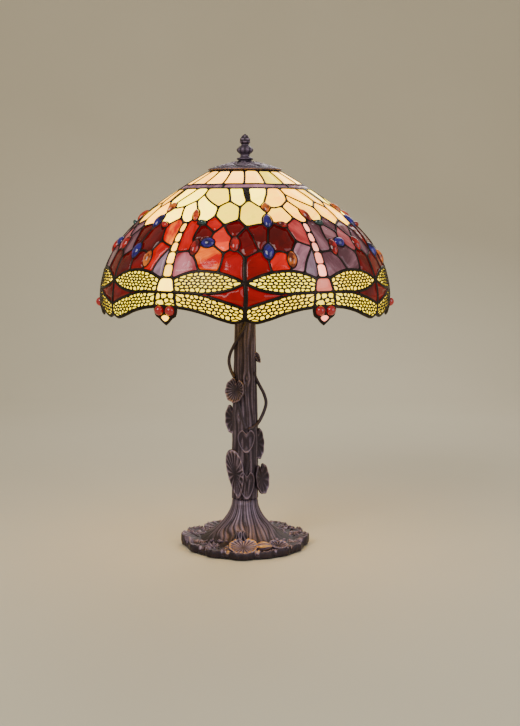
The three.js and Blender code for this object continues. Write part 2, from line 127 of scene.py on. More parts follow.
class Workings:
    """A tree of nodes being put together."""

    def __init__(self, tree):
        self.tree = tree

    def node(self, kind, settings=(), inputs=(), output=0):
        made = self.tree.nodes.new(kind)
        for name, value in dict(settings).items():
            if name == "stops":
                self.set_stops(made.color_ramp, value)
            else:
                setattr(made, name, value)
        for name, value in dict(inputs).items():
            self.feed(made.inputs[name], value)
        return Quantity(self.tree, made.outputs[output])

    def set_stops(self, ramp, stops):
        while len(ramp.elements) < len(stops):
            ramp.elements.new(0.5)
        for element, (place, colour) in zip(ramp.elements, stops):
            element.position = place
            element.color = (*colour, 1) if len(colour) == 3 else colour

    def feed(self, slot, value):
        if isinstance(value, Quantity):
            self.tree.links.new(value.socket, slot)
        elif hasattr(value, "__len__") and len(value) == 3 and slot.type == "RGBA":
            slot.default_value = (*value, 1)
        else:
            slot.default_value = value


class Finish(Workings):
    """A material being put together round one Principled surface."""

    def __init__(self, name):
        self.material = bpy.data.materials.new(name)
        self.material.use_nodes = True
        super().__init__(self.material.node_tree)
        self.surface = self.tree.nodes["Principled BSDF"]

    def set(self, **values):
        for name, value in values.items():
            self.feed(self.surface.inputs[name.replace("_", " ")], value)
        return self

    def place(self):
        return self.node("ShaderNodeTexCoord", output="Object")

    def scaled(self, vector, scale):
        return self.node("ShaderNodeVectorMath", {"operation": "MULTIPLY"}, {0: vector, 1: scale})

    def times(self, colour, factor):
        return self.node("ShaderNodeVectorMath", {"operation": "SCALE"}, {0: colour, "Scale": factor})

    def stored(self, name, output="Color"):
        return self.node("ShaderNodeAttribute", {"attribute_name": name}, output=output)

    def noise(self, vector, scale, detail=3.0, roughness=0.5, distortion=0.0):
        return self.node("ShaderNodeTexNoise", {}, {
            "Vector": vector, "Scale": scale, "Detail": detail,
            "Roughness": roughness, "Distortion": distortion,
        })

    def mix(self, factor, first, second, blend="MIX"):
        made = self.tree.nodes.new("ShaderNodeMix")
        made.data_type = "RGBA"
        made.blend_type = blend
        self.feed(made.inputs[0], factor)
        self.feed(made.inputs[6], first)
        self.feed(made.inputs[7], second)
        return Quantity(self.tree, made.outputs[2])

    def ramp(self, factor, stops):
        return self.node("ShaderNodeValToRGB", {"stops": stops}, {0: factor})

    def bump(self, height, strength, distance):
        return self.node("ShaderNodeBump", {}, {"Height": height, "Strength": strength, "Distance": distance})


def paper_finish():
    paper = Finish("pale_paper")
    grain = paper.noise(paper.place(), 3.0)
    paper.set(Base_Color=paper.mix(grain, (0.68, 0.62, 0.47), (0.73, 0.67, 0.52)), Roughness=0.9)
    return paper.material


def studio_floor():
    reach = 3.0
    bend = 1.2
    sweep = 0.6
    wall = 2.5
    profile = [(-reach, 0.0), (bend, 0.0)]
    for turn in (k * math.pi / 24 for k in range(1, 13)):
        profile.append((bend + math.sin(turn) * sweep, sweep - math.cos(turn) * sweep))
    profile.append((bend + sweep, wall))
    corners = [(x, y, z) for y, z in profile for x in (-reach, reach)]
    faces = [(2 * k, 2 * k + 1, 2 * k + 3, 2 * k + 2) for k in range(len(profile) - 1)]
    mesh = bpy.data.meshes.new("studio_floor")
    mesh.from_pydata(corners, [], faces)
    mesh.shade_smooth()
    mesh.materials.append(paper_finish())
    floor = bpy.data.objects.new("studio_floor", mesh)
    bpy.context.collection.objects.link(floor)
    return floor


studio_floor()


# ---------------------------------------------------------------------------------------------
# The leaded shade's pattern. Every pane is cut to a paper pattern that repeats six times round
# the dome, once for each dragonfly. A joint is a meeting of lead lines, given in degrees from
# the dragonfly's spine and millimetres down the dome from the crown. A "+" or "-" after a
# joint's name is the same joint one repeat to the right or left.

MM = 0.001
REPEATS = 6
REPEAT_ANGLE = 360 / REPEATS
SPINES = [-REPEAT_ANGLE / 2 + repeat * REPEAT_ANGLE for repeat in range(REPEATS)]

CROWN_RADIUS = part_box("crown_ring")[1].x / MM
CROWN_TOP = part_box("crown_ring")[1].z / MM
RIM_RADIUS = 195
RIM_HEIGHT = 325
DOME_CURVE = np.array([
    (CROWN_RADIUS, CROWN_TOP), (CROWN_RADIUS + 65.5, CROWN_TOP - 37.5),
    (RIM_RADIUS + 19, RIM_HEIGHT + 97), (RIM_RADIUS, RIM_HEIGHT),
])
GLASS_THICKNESS = 2.6
GRIP = 0.4  # share of a lead's half width that the glass reaches in under it


def dome_table():
    t = np.linspace(0, 1, 600)[:, None]
    a, b, c, d = DOME_CURVE
    points = a * (1 - t) ** 3 + 3 * b * t * (1 - t) ** 2 + 3 * c * t ** 2 * (1 - t) + d * t ** 3
    steps = np.hypot(*np.diff(points, axis=0).T)
    down = np.concatenate([[0], np.cumsum(steps)])
    slope = np.gradient(points, down, axis=0)
    return down, points, slope / np.hypot(*slope.T)[:, None]


DOME_DOWN, DOME_POINTS, DOME_SLOPE = dome_table()


def dome_radius(down):
    return np.interp(down, DOME_DOWN, DOME_POINTS[:, 0])


def mm_per_degree(down):
    return dome_radius(down) * math.pi / 180


def on_dome(flat, lift, spine=0.0):
    """Places of points (degrees, mm down) that stand lift mm out of the dome's face, in metres."""
    flat = np.asarray(flat, float)
    angle = np.radians(flat[:, 0] + spine)
    down = flat[:, 1]
    slope_r = np.interp(down, DOME_DOWN, DOME_SLOPE[:, 0])
    slope_z = np.interp(down, DOME_DOWN, DOME_SLOPE[:, 1])
    past_rim = np.maximum(down - DOME_DOWN[-1], 0)
    radius = dome_radius(down) - slope_z * lift + slope_r * past_rim
    z = np.interp(down, DOME_DOWN, DOME_POINTS[:, 1]) + slope_r * lift + slope_z * past_rim
    return np.stack([radius * np.sin(angle), -radius * np.cos(angle), z], 1) * MM


JOINTS = {
    "k1t": (-11, 1.5), "k2t": (9, 1.5), "k3t": (29, 1.5),
    "k1": (-11, 37.5), "k2": (9, 37.5), "b": (11, 37.5), "k3": (29, 37.5),
    "t0": (-27.7, 48), "t1": (-12.2, 48), "t2": (-1, 48), "bb": (11, 48), "t3": (16.8, 48), "t4": (29, 48),
    "c0": (-16.3, 71), "c1": (-0.2, 63), "c2": (-2.2, 77), "c3": (14.6, 91), "c4": (20.7, 79),
    "c5": (27.2, 91), "c6": (31.2, 78), "c7": (-27, 78), "c8": (-22.4, 89), "c9": (-13, 93),
    "c10": (-8.2, 89.5), "c11": (1.1, 90),
    "n1": (27, 116), "n2": (20.2, 125.5), "n3": (14.4, 108.5), "n4": (-23.6, 124), "n6": (-4.6, 112.5),
    "n7": (-8, 120), "r2": (16.3, 138), "r6": (22.8, 140), "u2": (7.4, 149), "s2": (21.6, 169),
    "s3": (10.9, 180), "x1": (-24.3, 166), "xm": (-26.7, 145), "x8": (-15.6, 166.5),
    "y1": (-1.5, 160), "y2": (-8, 151.5), "yb": (-5.4, 178),
    "v0": (30.6, 128.5), "v1": (30, 176), "v2": (30, 208.5), "v3": (30, 240), "v4": (30, 252.5),
    "brow": (0, 247), "tip": (0, 260),
}
# the tail's two sides, then the body and the right-hand wings, which the left-hand ones mirror
TAIL = [(1.35, 121), (1.45, 138), (1.6, 153.5), (1.8, 168), (1.95, 185), (2.0, 202)]
for step, place in enumerate(TAIL):
    JOINTS[f"tail{step}r"] = place
for name, place in {
    "n0": (2.9, 203.5), "x0": (4.0, 220.5), "base": (4.7, 238.5), "cheek": (4.4, 244.5), "jaw": (3.9, 249),
    "chin": (2.6, 251.5), "p1": (7.5, 197), "p2": (12.8, 193.5), "p3": (20, 195.3), "p4": (26, 201.5),
    "q4": (25, 216), "q3": (19, 220.5), "x1w": (13, 222), "e3": (20, 228.5), "e4": (26, 235),
    "z1": (9.5, 240.5), "z2": (15.5, 245.5), "z3": (21.5, 252.5), "z4": (26.5, 256.3),
}.items():
    JOINTS[f"{name}r"] = place
for name in [name for name in JOINTS if name.endswith("r")]:
    JOINTS[f"{name[:-1]}l"] = (-JOINTS[name][0], JOINTS[name][1])

# glass cabochons: middle, half width and half length in mm, lean in degrees, and how pointed
CABOCHONS = {
    "amber_diamond": ((-18.2, 92), 6.4, 10.5, 0, 1.35, "amber"),
    "blue_upper": ((-19, 118), 6.6, 12.3, 3, 1.9, "blue"),
    "red_across": ((-12.2, 125), 7.4, 4.6, 24, 2, "red"),
    "amber_drop": ((3.5, 107), 4.9, 12, -14, 1.8, "amber_red"),
    "green": ((8.9, 121.5), 6.6, 4.4, 10, 2, "green"),
    "blue_across": ((14.4, 154), 9, 7.6, 0, 2, "blue"),
    "red_left": ((9.3, 161), 6.3, 12.2, 6, 1.8, "red"),
    "red_right": ((25.8, 156), 6.5, 11.3, 0, 1.9, "red"),
    "blue_lower": ((-20.7, 167), 7.7, 12.2, 3, 1.6, "blue"),
    "amber_lower": ((-11.7, 178), 6.4, 11.8, 3, 1.8, "amber"),
}

# lines that run on smoothly through their joints
FLOWING = [
    "n0r p1r p2r p3r p4r v2", "v2 q4r q3r x1wr x0r", "x0r x1wr e3r e4r v3", "v4 z4r z3r z2r z1r baser",
    "n0l p1l p2l p3l p4l v2-", "v2- q4l q3l x1wl x0l", "x0l x1wl e3l e4l v3-", "v4- z4l z3l z2l z1l basel",
    "baser cheekr jawr chinr", "basel cheekl jawl chinl",
]

PANES = {
    "crown_1": ("crown", "k3t- k1t k1 k3-"),
    "crown_2": ("crown", "k1t k2t k2 k1"),
    "crown_3": ("crown", "k2t k3t k3 b k2"),
    "border": ("lilac", "b- k3- k1 k2 b bb t2 t1 t0 t4- t3- bb-"),
    "cream_1": ("cream", "t0 t1 c0 amber_diamond c8 c7"),
    "cream_2": ("peach", "t1 t2 c1 c2 c10 c9 amber_diamond c0"),
    "cream_3": ("cream", "t2 bb t3 c4 c3 c1"),
    "cream_4": ("cream", "t3 t4 c6 c5 c4"),
    "strap": ("lead", "t4 t0+ c7+ c6"),
    "yellow_1": ("yellow", "c5 c6 c7+ c8+ amber_diamond+ blue_upper+ n4+ v0 n1"),
    "yellow_2": ("yellow", "c3 c4 c5 n1 n2 n3"),
    "cream_5": ("peach", "amber_diamond c9 c10 n6 n7 red_across blue_upper"),
    "cream_6": ("cream", "c10 c2 c11 amber_drop tail0r tail0l n6"),
    "cream_7": ("cream", "c1 c3 n3 green amber_drop c11 c2"),
    "red_kite": ("bright_red", "n3 n2 r2 green"),
    "red_1": ("dark_red", "n2 n1 v0 red_right r6"),
    "salmon_1": ("salmon", "n2 r6 red_right s2 blue_across r2"),
    "red_2": ("red", "s2 red_right v1 v2 p4r p3r"),
    "red_3": ("dark_red", "v0 xm+ x1+ v1 red_right"),
    "red_4": ("dark_red", "v0- n4 blue_upper blue_lower x1 xm"),
    "red_5": ("red", "v1- x1 blue_lower p3l p4l v2-"),
    "red_6": ("dark_red", "blue_upper red_across y2 amber_lower x8 blue_lower"),
    "red_7": ("bright_red", "blue_lower x8 amber_lower p2l p3l"),
    "lilac_1": ("lilac", "y2 y1 yb p1l p2l amber_lower"),
    "lilac_2": ("blue_grey", "y1 tail3l tail4l tail5l n0l p1l yb"),
    "salmon_2": ("salmon", "n7 n6 tail0l tail1l tail2l y1 y2 red_across"),
    "orange": ("orange", "blue_across s2 p3r p2r s3 red_left"),
    "red_8": ("dark_red", "green r2 blue_across red_left u2"),
    "mauve": ("mauve", "tail3r red_left s3 p2r p1r n0r tail5r tail4r"),
    "red_9": ("bright_red", "tail0r amber_drop green u2 red_left tail3r tail2r tail1r"),
    **{f"tail_{n + 1}": ("shell", f"tail{n}l tail{n}r tail{n + 1}r tail{n + 1}l") for n in range(5)},
    "thorax": ("shell", "n0l tail5l tail5r n0r x0r x0l"),
    "waist": ("wing", "x0l x0r baser basel"),
    "face": ("lead", "basel baser cheekr jawr chinr brow chinl jawl cheekl"),
    "muzzle": ("shell", "chinl brow chinr tip"),
    "upper_wing_right": ("wing", "n0r p1r p2r p3r p4r v2 q4r q3r x1wr x0r"),
    "lower_wing_right": ("wing", "x0r x1wr e3r e4r v3 v4 z4r z3r z2r z1r baser"),
    "gusset_right": ("red", "x1wr q3r q4r v2 v3 e4r e3r"),
    "upper_wing_left": ("wing", "n0l p1l p2l p3l p4l v2- q4l q3l x1wl x0l"),
    "lower_wing_left": ("wing", "x0l x1wl e3l e4l v3- v4- z4l z3l z2l z1l basel"),
    "gusset_left": ("red", "x1wl q3l q4l v2- v3- e4l e3l"),
}

# lines of lead that are wider or narrower than the rest, by half width in mm
LEAD_HALF_WIDTH = 1.55
SETTING_HALF_WIDTH = 1.0
OTHER_WIDTHS = [
    (2.8, "v1 v2 v3 v4"), (1.0, "xm x1"), (1.1, "v0- xm"), (1.1, "x1 v1-"), (1.0, "chinr brow chinl"),
]
OTHER_WIDTHS += [(2.1, line) for line in FLOWING[:8]]
OTHER_WIDTHS += [(0.75, f"tail{step}l tail{step}r") for step in range(1, 5)]
OTHER_WIDTHS += [(1.1, " ".join(f"tail{step}{side}" for step in range(6))) for side in "lr"]
LEAD_STEP = 3.6
LEAD_RISE = 1.0
CABOCHON_POINTS = 24


def plain(name):
    return name.rstrip("+-")


def turns(name):
    return name.count("+") - name.count("-")


def moved_on(points, repeats):
    return points + np.array([REPEAT_ANGLE * repeats, 0])


def cabochon_loop(name, draw_in=0.0):
    (angle, down), half_width, half_length, lean, roundness, colour = CABOCHONS[plain(name)]
    t = np.arange(CABOCHON_POINTS) * 2 * math.pi / CABOCHON_POINTS
    x = np.sign(np.cos(t)) * np.abs(np.cos(t)) ** (2 / roundness) * (half_width - draw_in)
    y = np.sign(np.sin(t)) * np.abs(np.sin(t)) ** (2 / roundness) * (half_length - draw_in)
    turn = math.radians(lean)
    across = x * math.cos(turn) - y * math.sin(turn)
    along = x * math.sin(turn) + y * math.cos(turn)
    loop = np.stack([angle + across / mm_per_degree(down), down + along], 1)
    return moved_on(loop, turns(name))


def joint(name):
    place = CABOCHONS[plain(name)][0] if plain(name) in CABOCHONS else JOINTS[plain(name)]
    return moved_on(np.array(place, float), turns(name))


def apart(first, second):
    gap = np.asarray(second) - np.asarray(first)
    scale = mm_per_degree((np.asarray(first)[..., 1] + np.asarray(second)[..., 1]) / 2)
    return np.hypot(gap[..., 0] * scale, gap[..., 1])


def meeting_point(cabochon, other):
    return int(np.argmin(apart(cabochon_loop(cabochon), joint(other))))


def in_order(first, last):
    """A lead line's own name, the same from either end and in every repeat."""
    if (plain(first), turns(first)) > (plain(last), turns(last)):
        first, last = last, first
    return plain(first), plain(last), turns(last) - turns(first)


def eased(start, end, start_slope, end_slope, t):
    """Places on the smooth curve from start to end that leaves and arrives along the slopes."""
    return (
        (2 * t ** 3 - 3 * t ** 2 + 1) * start + (t ** 3 - 2 * t ** 2 + t) * start_slope
        + (3 * t ** 2 - 2 * t ** 3) * end + (t ** 3 - t ** 2) * end_slope
    )


def flowing_lines():
    """Smooth lines through the joints of each flowing line, one for each pair of its joints."""
    lines = {}
    for line in FLOWING:
        names = line.split()
        places = np.array([joint(name) for name in names])
        knots = np.concatenate([[0], np.cumsum(np.sqrt(apart(places[:-1], places[1:])))])
        slopes = np.gradient(places, knots, axis=0)
        for k in range(len(names) - 1):
            span = knots[k + 1] - knots[k]
            count = max(2, round(apart(places[k], places[k + 1]) / LEAD_STEP))
            t = np.linspace(0, 1, count + 1)[:, None]
            curve = eased(places[k], places[k + 1], span * slopes[k], span * slopes[k + 1], t)
            key = in_order(names[k], names[k + 1])
            forwards = plain(names[k]) == key[0]
            start = names[k] if forwards else names[k + 1]
            lines[key] = moved_on(curve if forwards else curve[::-1], -turns(start))
    return lines


FLOWING_LINES = flowing_lines()
WIDTHS = {}
for half_width, line in OTHER_WIDTHS:
    names = line.split()
    for first, last in zip(names, names[1:]):
        WIDTHS[in_order(first, last)] = half_width


def lead_line(first, last):
    """Points along the middle of the lead from one joint to the next, both ends included."""
    key = in_order(first, last)
    forwards = plain(first) == key[0]
    start = first if forwards else last
    if key in FLOWING_LINES:
        line = moved_on(FLOWING_LINES[key], turns(start))
        return line if forwards else line[::-1]
    ends = []
    near, far = key[0], key[1] + ("+" * key[2] if key[2] > 0 else "-" * -key[2])
    for name, other in ((near, far), (far, near)):
        if plain(name) in CABOCHONS:
            ends.append(cabochon_loop(name)[meeting_point(name, other)])
        else:
            ends.append(joint(name))
    length = apart(*ends)
    count = max(1, round(length / LEAD_STEP))
    t = np.linspace(0, 1, count + 1)[:, None]
    across = (ends[1] - ends[0])[::-1] * np.array([-1 / mm_per_degree(ends[0][1]), mm_per_degree(ends[0][1])])
    bow = 0.035 * math.sin(12.9 * ends[0][0] + 7.7 * ends[1][1]) if length > 12 else 0
    line = ends[0] + (ends[1] - ends[0]) * t + across * bow * np.sin(t * math.pi)
    line = moved_on(line, turns(start))
    return line if forwards else line[::-1]


def signed_area(points):
    x, y = points.T
    return 0.5 * float(np.sum(x * np.roll(y, -1) - y * np.roll(x, -1)))


def pane_outline(names):
    """A pane's outline along the middle of its leads, and the lead line that each step is on."""
    if signed_area(np.array([joint(name) for name in names])) < 0:
        names = names[::-1]
    points = []
    lines = []
    for k, name in enumerate(names):
        following = names[(k + 1) % len(names)]
        line = lead_line(name, following)
        points += list(line[:-1])
        lines += [in_order(name, following)] * (len(line) - 1)
        if plain(following) in CABOCHONS:
            loop = cabochon_loop(following)
            arrive = meeting_point(following, name)
            leave = meeting_point(following, names[(k + 2) % len(names)])
            arc = [(arrive - step) % CABOCHON_POINTS for step in range((arrive - leave) % CABOCHON_POINTS)]
            points += [loop[index] for index in arc]
            lines += [("setting", plain(following))] * len(arc)
    return np.array(points), lines


def on_bench(points, middle):
    """A pane laid out flat in millimetres about its own middle."""
    return np.stack([(points[:, 0] - middle[0]) * mm_per_degree(points[:, 1]), points[:, 1] - middle[1]], 1)


def back_on_dome(flat, middle):
    down = flat[:, 1] + middle[1]
    return np.stack([flat[:, 0] / mm_per_degree(down) + middle[0], down], 1)


def inside(points, outline):
    start, end = outline, np.roll(outline, -1, 0)
    above_start = points[:, None, 1] < start[None, :, 1]
    above_end = points[:, None, 1] < end[None, :, 1]
    rise = end[:, 1] - start[:, 1]
    share = (points[:, None, 1] - start[None, :, 1]) / np.where(rise == 0, 1, rise)[None]
    crossing = start[None, :, 0] + share * (end - start)[None, :, 0]
    return ((above_start != above_end) & (points[:, None, 0] < crossing)).sum(1) % 2 == 1


def drawn_in(outline, widths, rounds=14, fillets=3):
    """An outline drawn in by each lead's half width, its corners filled as solder fills them."""
    run = np.roll(outline, -1, 0) - outline
    ahead = run / np.linalg.norm(run, axis=1)[:, None]
    inward = np.stack([-ahead[:, 1], ahead[:, 0]], 1)
    loop = outline + (inward + np.roll(inward, 1, 0)) * 0.15
    widths = np.asarray(widths)
    for step in range(rounds):
        if step < fillets:
            loop = loop * 0.5 + (np.roll(loop, 1, 0) + np.roll(loop, -1, 0)) * 0.25
        share = np.clip(((loop[:, None] - outline[None]) * run).sum(2) / (run * run).sum(1), 0, 1)
        gap = loop[:, None] - (outline + share[..., None] * run)
        distance = np.linalg.norm(gap, axis=2)
        nearest = np.argmin(distance - widths, axis=1)
        rows = np.arange(len(loop))
        depth = np.where(inside(loop, outline), 1, -1) * distance[rows, nearest]
        short = np.maximum(widths[nearest] - depth, 0)
        way = gap[rows, nearest] / np.maximum(depth, 1e-6, where=depth > 0, out=depth.copy())[:, None]
        loop = loop + way * (short * 0.7)[:, None]
    return loop


LINE_USES = {}
OUTLINES = {}
for name, (kind, route) in PANES.items():
    OUTLINES[name] = pane_outline(route.split())
    for line in dict.fromkeys(OUTLINES[name][1]):
        LINE_USES[line] = LINE_USES.get(line, 0) + 1
for name in CABOCHONS:
    OUTLINES[name] = (cabochon_loop(name), [("setting", name)] * CABOCHON_POINTS)
OPENINGS = {}
for name, (outline, lines) in OUTLINES.items():
    middle = outline.mean(0)
    widths = [
        SETTING_HALF_WIDTH if line[0] == "setting" else WIDTHS.get(line, LEAD_HALF_WIDTH) for line in lines
    ]
    OPENINGS[name] = back_on_dome(drawn_in(on_bench(outline, middle), widths), middle)


def new_piece(name, corners, faces, material, smooth=True, weld=0.0):
    mesh = bpy.data.meshes.new(name)
    mesh.from_pydata([tuple(corner) for corner in corners], [], faces)
    bm = bmesh.new()
    bm.from_mesh(mesh)
    if weld:
        bmesh.ops.remove_doubles(bm, verts=bm.verts, dist=weld)
    bmesh.ops.recalc_face_normals(bm, faces=bm.faces)
    bm.to_mesh(mesh)
    bm.free()
    if smooth:
        mesh.shade_smooth()
    mesh.materials.append(material)
    made = bpy.data.objects.new(name, mesh)
    bpy.context.collection.objects.link(made)
    return made


def lay_beside(corners, faces, shape):
    """Add one more closed shape to the corners and faces of a piece."""
    more_corners, more_faces = shape
    faces += [tuple(index + len(corners) for index in face) for face in more_faces]
    corners += list(more_corners)


def band(lower, upper, count):
    """Four-sided faces between two rings, from the number of each ring's first point."""
    beside = [(k, (k + 1) % count) for k in range(count)]
    return [(lower + k, lower + after, upper + after, upper + k) for k, after in beside]


def store(piece, label, kind, values):
    """Keep a value for each point of a piece, for its material to read."""
    slot = {"FLOAT": "value", "FLOAT_VECTOR": "vector", "FLOAT_COLOR": "color"}[kind]
    piece.data.attributes.new(label, kind, "POINT").data.foreach_set(slot, values)


# ---------------------------------------------------------------------------------------------
# The leading: copper foil and solder, patinated nearly black, between all the panes. It is one
# network, a rounded bead outside and a flatter one inside, with fillets in the corners.

def lead_finish():
    lead = Finish("patinated_solder")
    place = lead.place()
    blotches = lead.noise(place, 90.0, 4.0)
    grain = lead.noise(place, 700.0, 2.0)
    tone = lead.ramp(blotches, [
        (0.3, (0.012, 0.008, 0.007)),
        (0.6, (0.03, 0.02, 0.016)),
        (0.8, (0.085, 0.065, 0.06)),
    ])
    lead.set(
        Base_Color=tone,
        Metallic=0.75,
        Roughness=blotches * 0.35 + 0.25,
        Normal=lead.bump(blotches + grain * 0.3, 0.35, 0.0012),
    )
    return lead.material


LEAD_FINISH = lead_finish()


def leading():
    corners = []
    faces = []
    inner_face = -GLASS_THICKNESS
    for spine in SPINES:
        for name, (outline, lines) in OUTLINES.items():
            opening = OPENINGS[name]
            solid = PANES.get(name, ("glass",))[0] == "lead"
            edge_lift = LEAD_RISE * 0.85 if solid else 0.0
            shoulder = (outline + opening) / 2
            rings = [
                (outline, LEAD_RISE), (shoulder, LEAD_RISE * 0.8), (opening, edge_lift),
                (opening, inner_face - edge_lift * 0.5), (outline, inner_face - LEAD_RISE * 0.6),
            ]
            first = len(corners)
            count = len(outline)
            for ring, lift in rings:
                corners += list(on_dome(ring, lift, spine))
            for level in range(len(rings) - 1):
                if solid and level == 2:
                    continue
                for k in range(count):
                    here = first + level * count + k
                    beside = first + level * count + (k + 1) % count
                    faces.append((here, here + count, beside + count, beside))
            if solid:
                faces.append(tuple(first + 2 * count + k for k in range(count)))
                faces.append(tuple(first + 3 * count + k for k in range(count)))
            last_ring = first + 4 * count
            for k in range(count):
                if LINE_USES.get(lines[k]) == 1 and lines[k][0] != "setting":
                    after = (k + 1) % count
                    faces.append((first + k, first + after, last_ring + after, last_ring + k))
    return new_piece("shade_leading", corners, faces, LEAD_FINISH, weld=2e-5)


net = leading()
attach(net, "shade")
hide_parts(*[f"seam_lead_{number}" for number in range(1, REPEATS + 1)])


# ---------------------------------------------------------------------------------------------
# The panes: opalescent sheet glass, hand cut, each with its own streaks, lit from inside. A
# pane is a little larger than its opening, and its edge is gripped in the leads.

# sheet colour, streak colour, and how brightly the lamp's light comes through
SHEETS = {
    "crown": ((1.0, 0.50, 0.05), (1.0, 0.38, 0.03), 5.8),
    "cream": ((1.0, 0.72, 0.025), (1.0, 0.56, 0.04), 6.2),
    "peach": ((1.0, 0.40, 0.012), (1.0, 0.54, 0.01), 5.2),
    "yellow": ((1.0, 0.70, 0.002), (1.0, 0.60, 0.006), 3.2),
    "lilac": ((0.22, 0.095, 0.13), (0.56, 0.24, 0.31), 1.0),
    "blue_grey": ((0.22, 0.12, 0.15), (0.42, 0.26, 0.34), 1.0),
    "plum": ((0.11, 0.038, 0.048), (0.30, 0.13, 0.155), 1.0),
    "brick": ((0.42, 0.030, 0.030), (0.75, 0.08, 0.07), 1.0),
    "salmon": ((0.75, 0.025, 0.012), (1.7, 0.16, 0.03), 1.0),
    "mauve": ((0.34, 0.03, 0.035), (0.66, 0.19, 0.21), 1.0),
    "dark_red": ((0.09, 0.0004, 0.0008), (0.20, 0.0008, 0.0015), 1.0),
    "red": ((0.27, 0.0008, 0.0015), (0.42, 0.0015, 0.003), 1.0),
    "bright_red": ((0.42, 0.0008, 0.001), (0.75, 0.010, 0.004), 1.0),
    "orange": ((0.70, 0.004, 0.0005), (1.7, 0.36, 0.008), 1.0),
    "shell": ((1.0, 0.44, 0.02), (1.0, 0.62, 0.02), 5.2),
    "rose": ((1.0, 0.27, 0.18), (1.0, 0.40, 0.26), 3.3),
    "dusky_rose": ((1.0, 0.22, 0.15), (1.0, 0.32, 0.22), 1.1),
    "wing": ((1.0, 0.70, 0.012), (1.0, 0.74, 0.04), 3.2),
}
# panes cut from another sheet than the pattern's own, in every second dragonfly from the first
# and in those between
RECUT = (
    {
        "cream_2": "cream", "cream_3": "yellow", "cream_5": "cream", "lilac_1": "bright_red",
        "salmon_2": "orange", "red_5": "dark_red", "red_7": "dark_red", "gusset_left": "dark_red",
        "thorax": "cream",
    },
    {
        "cream_3": "peach", "cream_4": "peach", "cream_6": "peach", "cream_7": "peach", "yellow_1": "peach",
        "yellow_2": "peach", "crown_2": "yellow", "red_kite": "plum", "red_1": "plum", "red_2": "dark_red",
        "red_3": "plum", "red_8": "plum", "red_9": "plum", "orange": "plum", "salmon_1": "mauve",
        "salmon_2": "brick", "mauve": "plum", "gusset_right": "dark_red", "thorax": "dusky_rose",
        "muzzle": "rose", **{f"tail_{number}": "rose" for number in range(1, 6)},
    },
)


def sheet_glass_finish():
    glass = Finish("opalescent_sheet_glass")
    tint = glass.stored("tint")
    glow = glass.stored("tint", "Alpha")
    streak = glass.stored("streak")
    sheet = glass.stored("sheet", "Vector")
    drawn_out = glass.scaled(sheet, (1.0, 0.3, 1.0))
    wisps = glass.noise(drawn_out, 55.0, 4.0, 0.6, 0.8)
    clouds = glass.noise(sheet, 28.0, 2.0)
    mottle = glass.noise(sheet, 260.0, 3.0, 0.6)
    share = ((wisps * 0.8 + clouds * 0.4 - 0.53) * 4.5).clamped()
    colour = glass.mix(share, tint, streak)
    shade = (wisps * 0.9 + mottle * 0.35 + 0.42).clamped()
    deep = glass.times(colour, shade)
    unlit = glass.times(deep, 0.2)
    lit = glass.times(deep, glow)
    ripple = glass.noise(sheet, 90.0, 2.0, 0.5, 0.4)
    glass.set(
        Base_Color=unlit,
        Roughness=0.14,
        IOR=1.52,
        Specular_IOR_Level=0.35,
        Emission_Color=lit,
        Emission_Strength=1.0,
        Normal=glass.bump(ripple + mottle * 0.1, 0.25, 0.002),
    )
    return glass.material


SHEET_GLASS = sheet_glass_finish()


def thick_plate(points, faces, lifts, spine):
    """A flat set of faces laid on the dome and given thickness, closed all round."""
    count = len(points)
    corners = np.concatenate([on_dome(points, lift, spine) for lift in lifts])
    sides = {}
    for face in faces:
        for a, b in zip(face, (*face[1:], face[0])):
            sides[(a, b)] = True
    closed = [tuple(face) for face in faces]
    closed += [tuple(index + count for index in reversed(face)) for face in faces]
    closed += [(b, a, a + count, b + count) for a, b in sides if (b, a) not in sides]
    return corners, closed


def cut_pane(outline, spacing=7.0):
    """A pane's flat triangles, with points over its middle so that it can bend to the dome."""
    middle = outline.mean(0)
    flat = on_bench(outline, middle)
    low = flat.min(0)
    high = flat.max(0)
    across, along = [np.arange(low[side] + 3, high[side], spacing) for side in (0, 1)]
    grid = np.array([(x, y) for x in across for y in along]).reshape(-1, 2)
    clear = np.linalg.norm(grid[:, None] - flat[None], axis=2).min(1) > 2.5 if len(grid) else []
    grid = grid[clear & inside(grid, flat)] if len(grid) else grid
    points = np.concatenate([flat, grid])
    rim = [(k, (k + 1) % len(flat)) for k in range(len(flat))]
    cut = delaunay_2d_cdt([Vector(point) for point in points], rim, [], 1, 1e-5)
    return np.array([tuple(point) for point in cut[0]]), [tuple(face) for face in cut[2]], middle


CUT_PANES = {}
for name, (kind, route) in PANES.items():
    if kind != "lead":
        outline = OPENINGS[name] + (OUTLINES[name][0] - OPENINGS[name]) * GRIP
        CUT_PANES[name] = (kind, *cut_pane(outline))


def family(name):
    if name.startswith("crown"):
        return "crown_glass"
    if name == "border":
        return "border_glass"
    if name.startswith(("cream", "yellow")):
        return "upper_glass"
    if any(word in name for word in ("wing", "gusset", "thorax", "waist", "muzzle")):
        return "dragonfly_glass"
    return "field_glass"


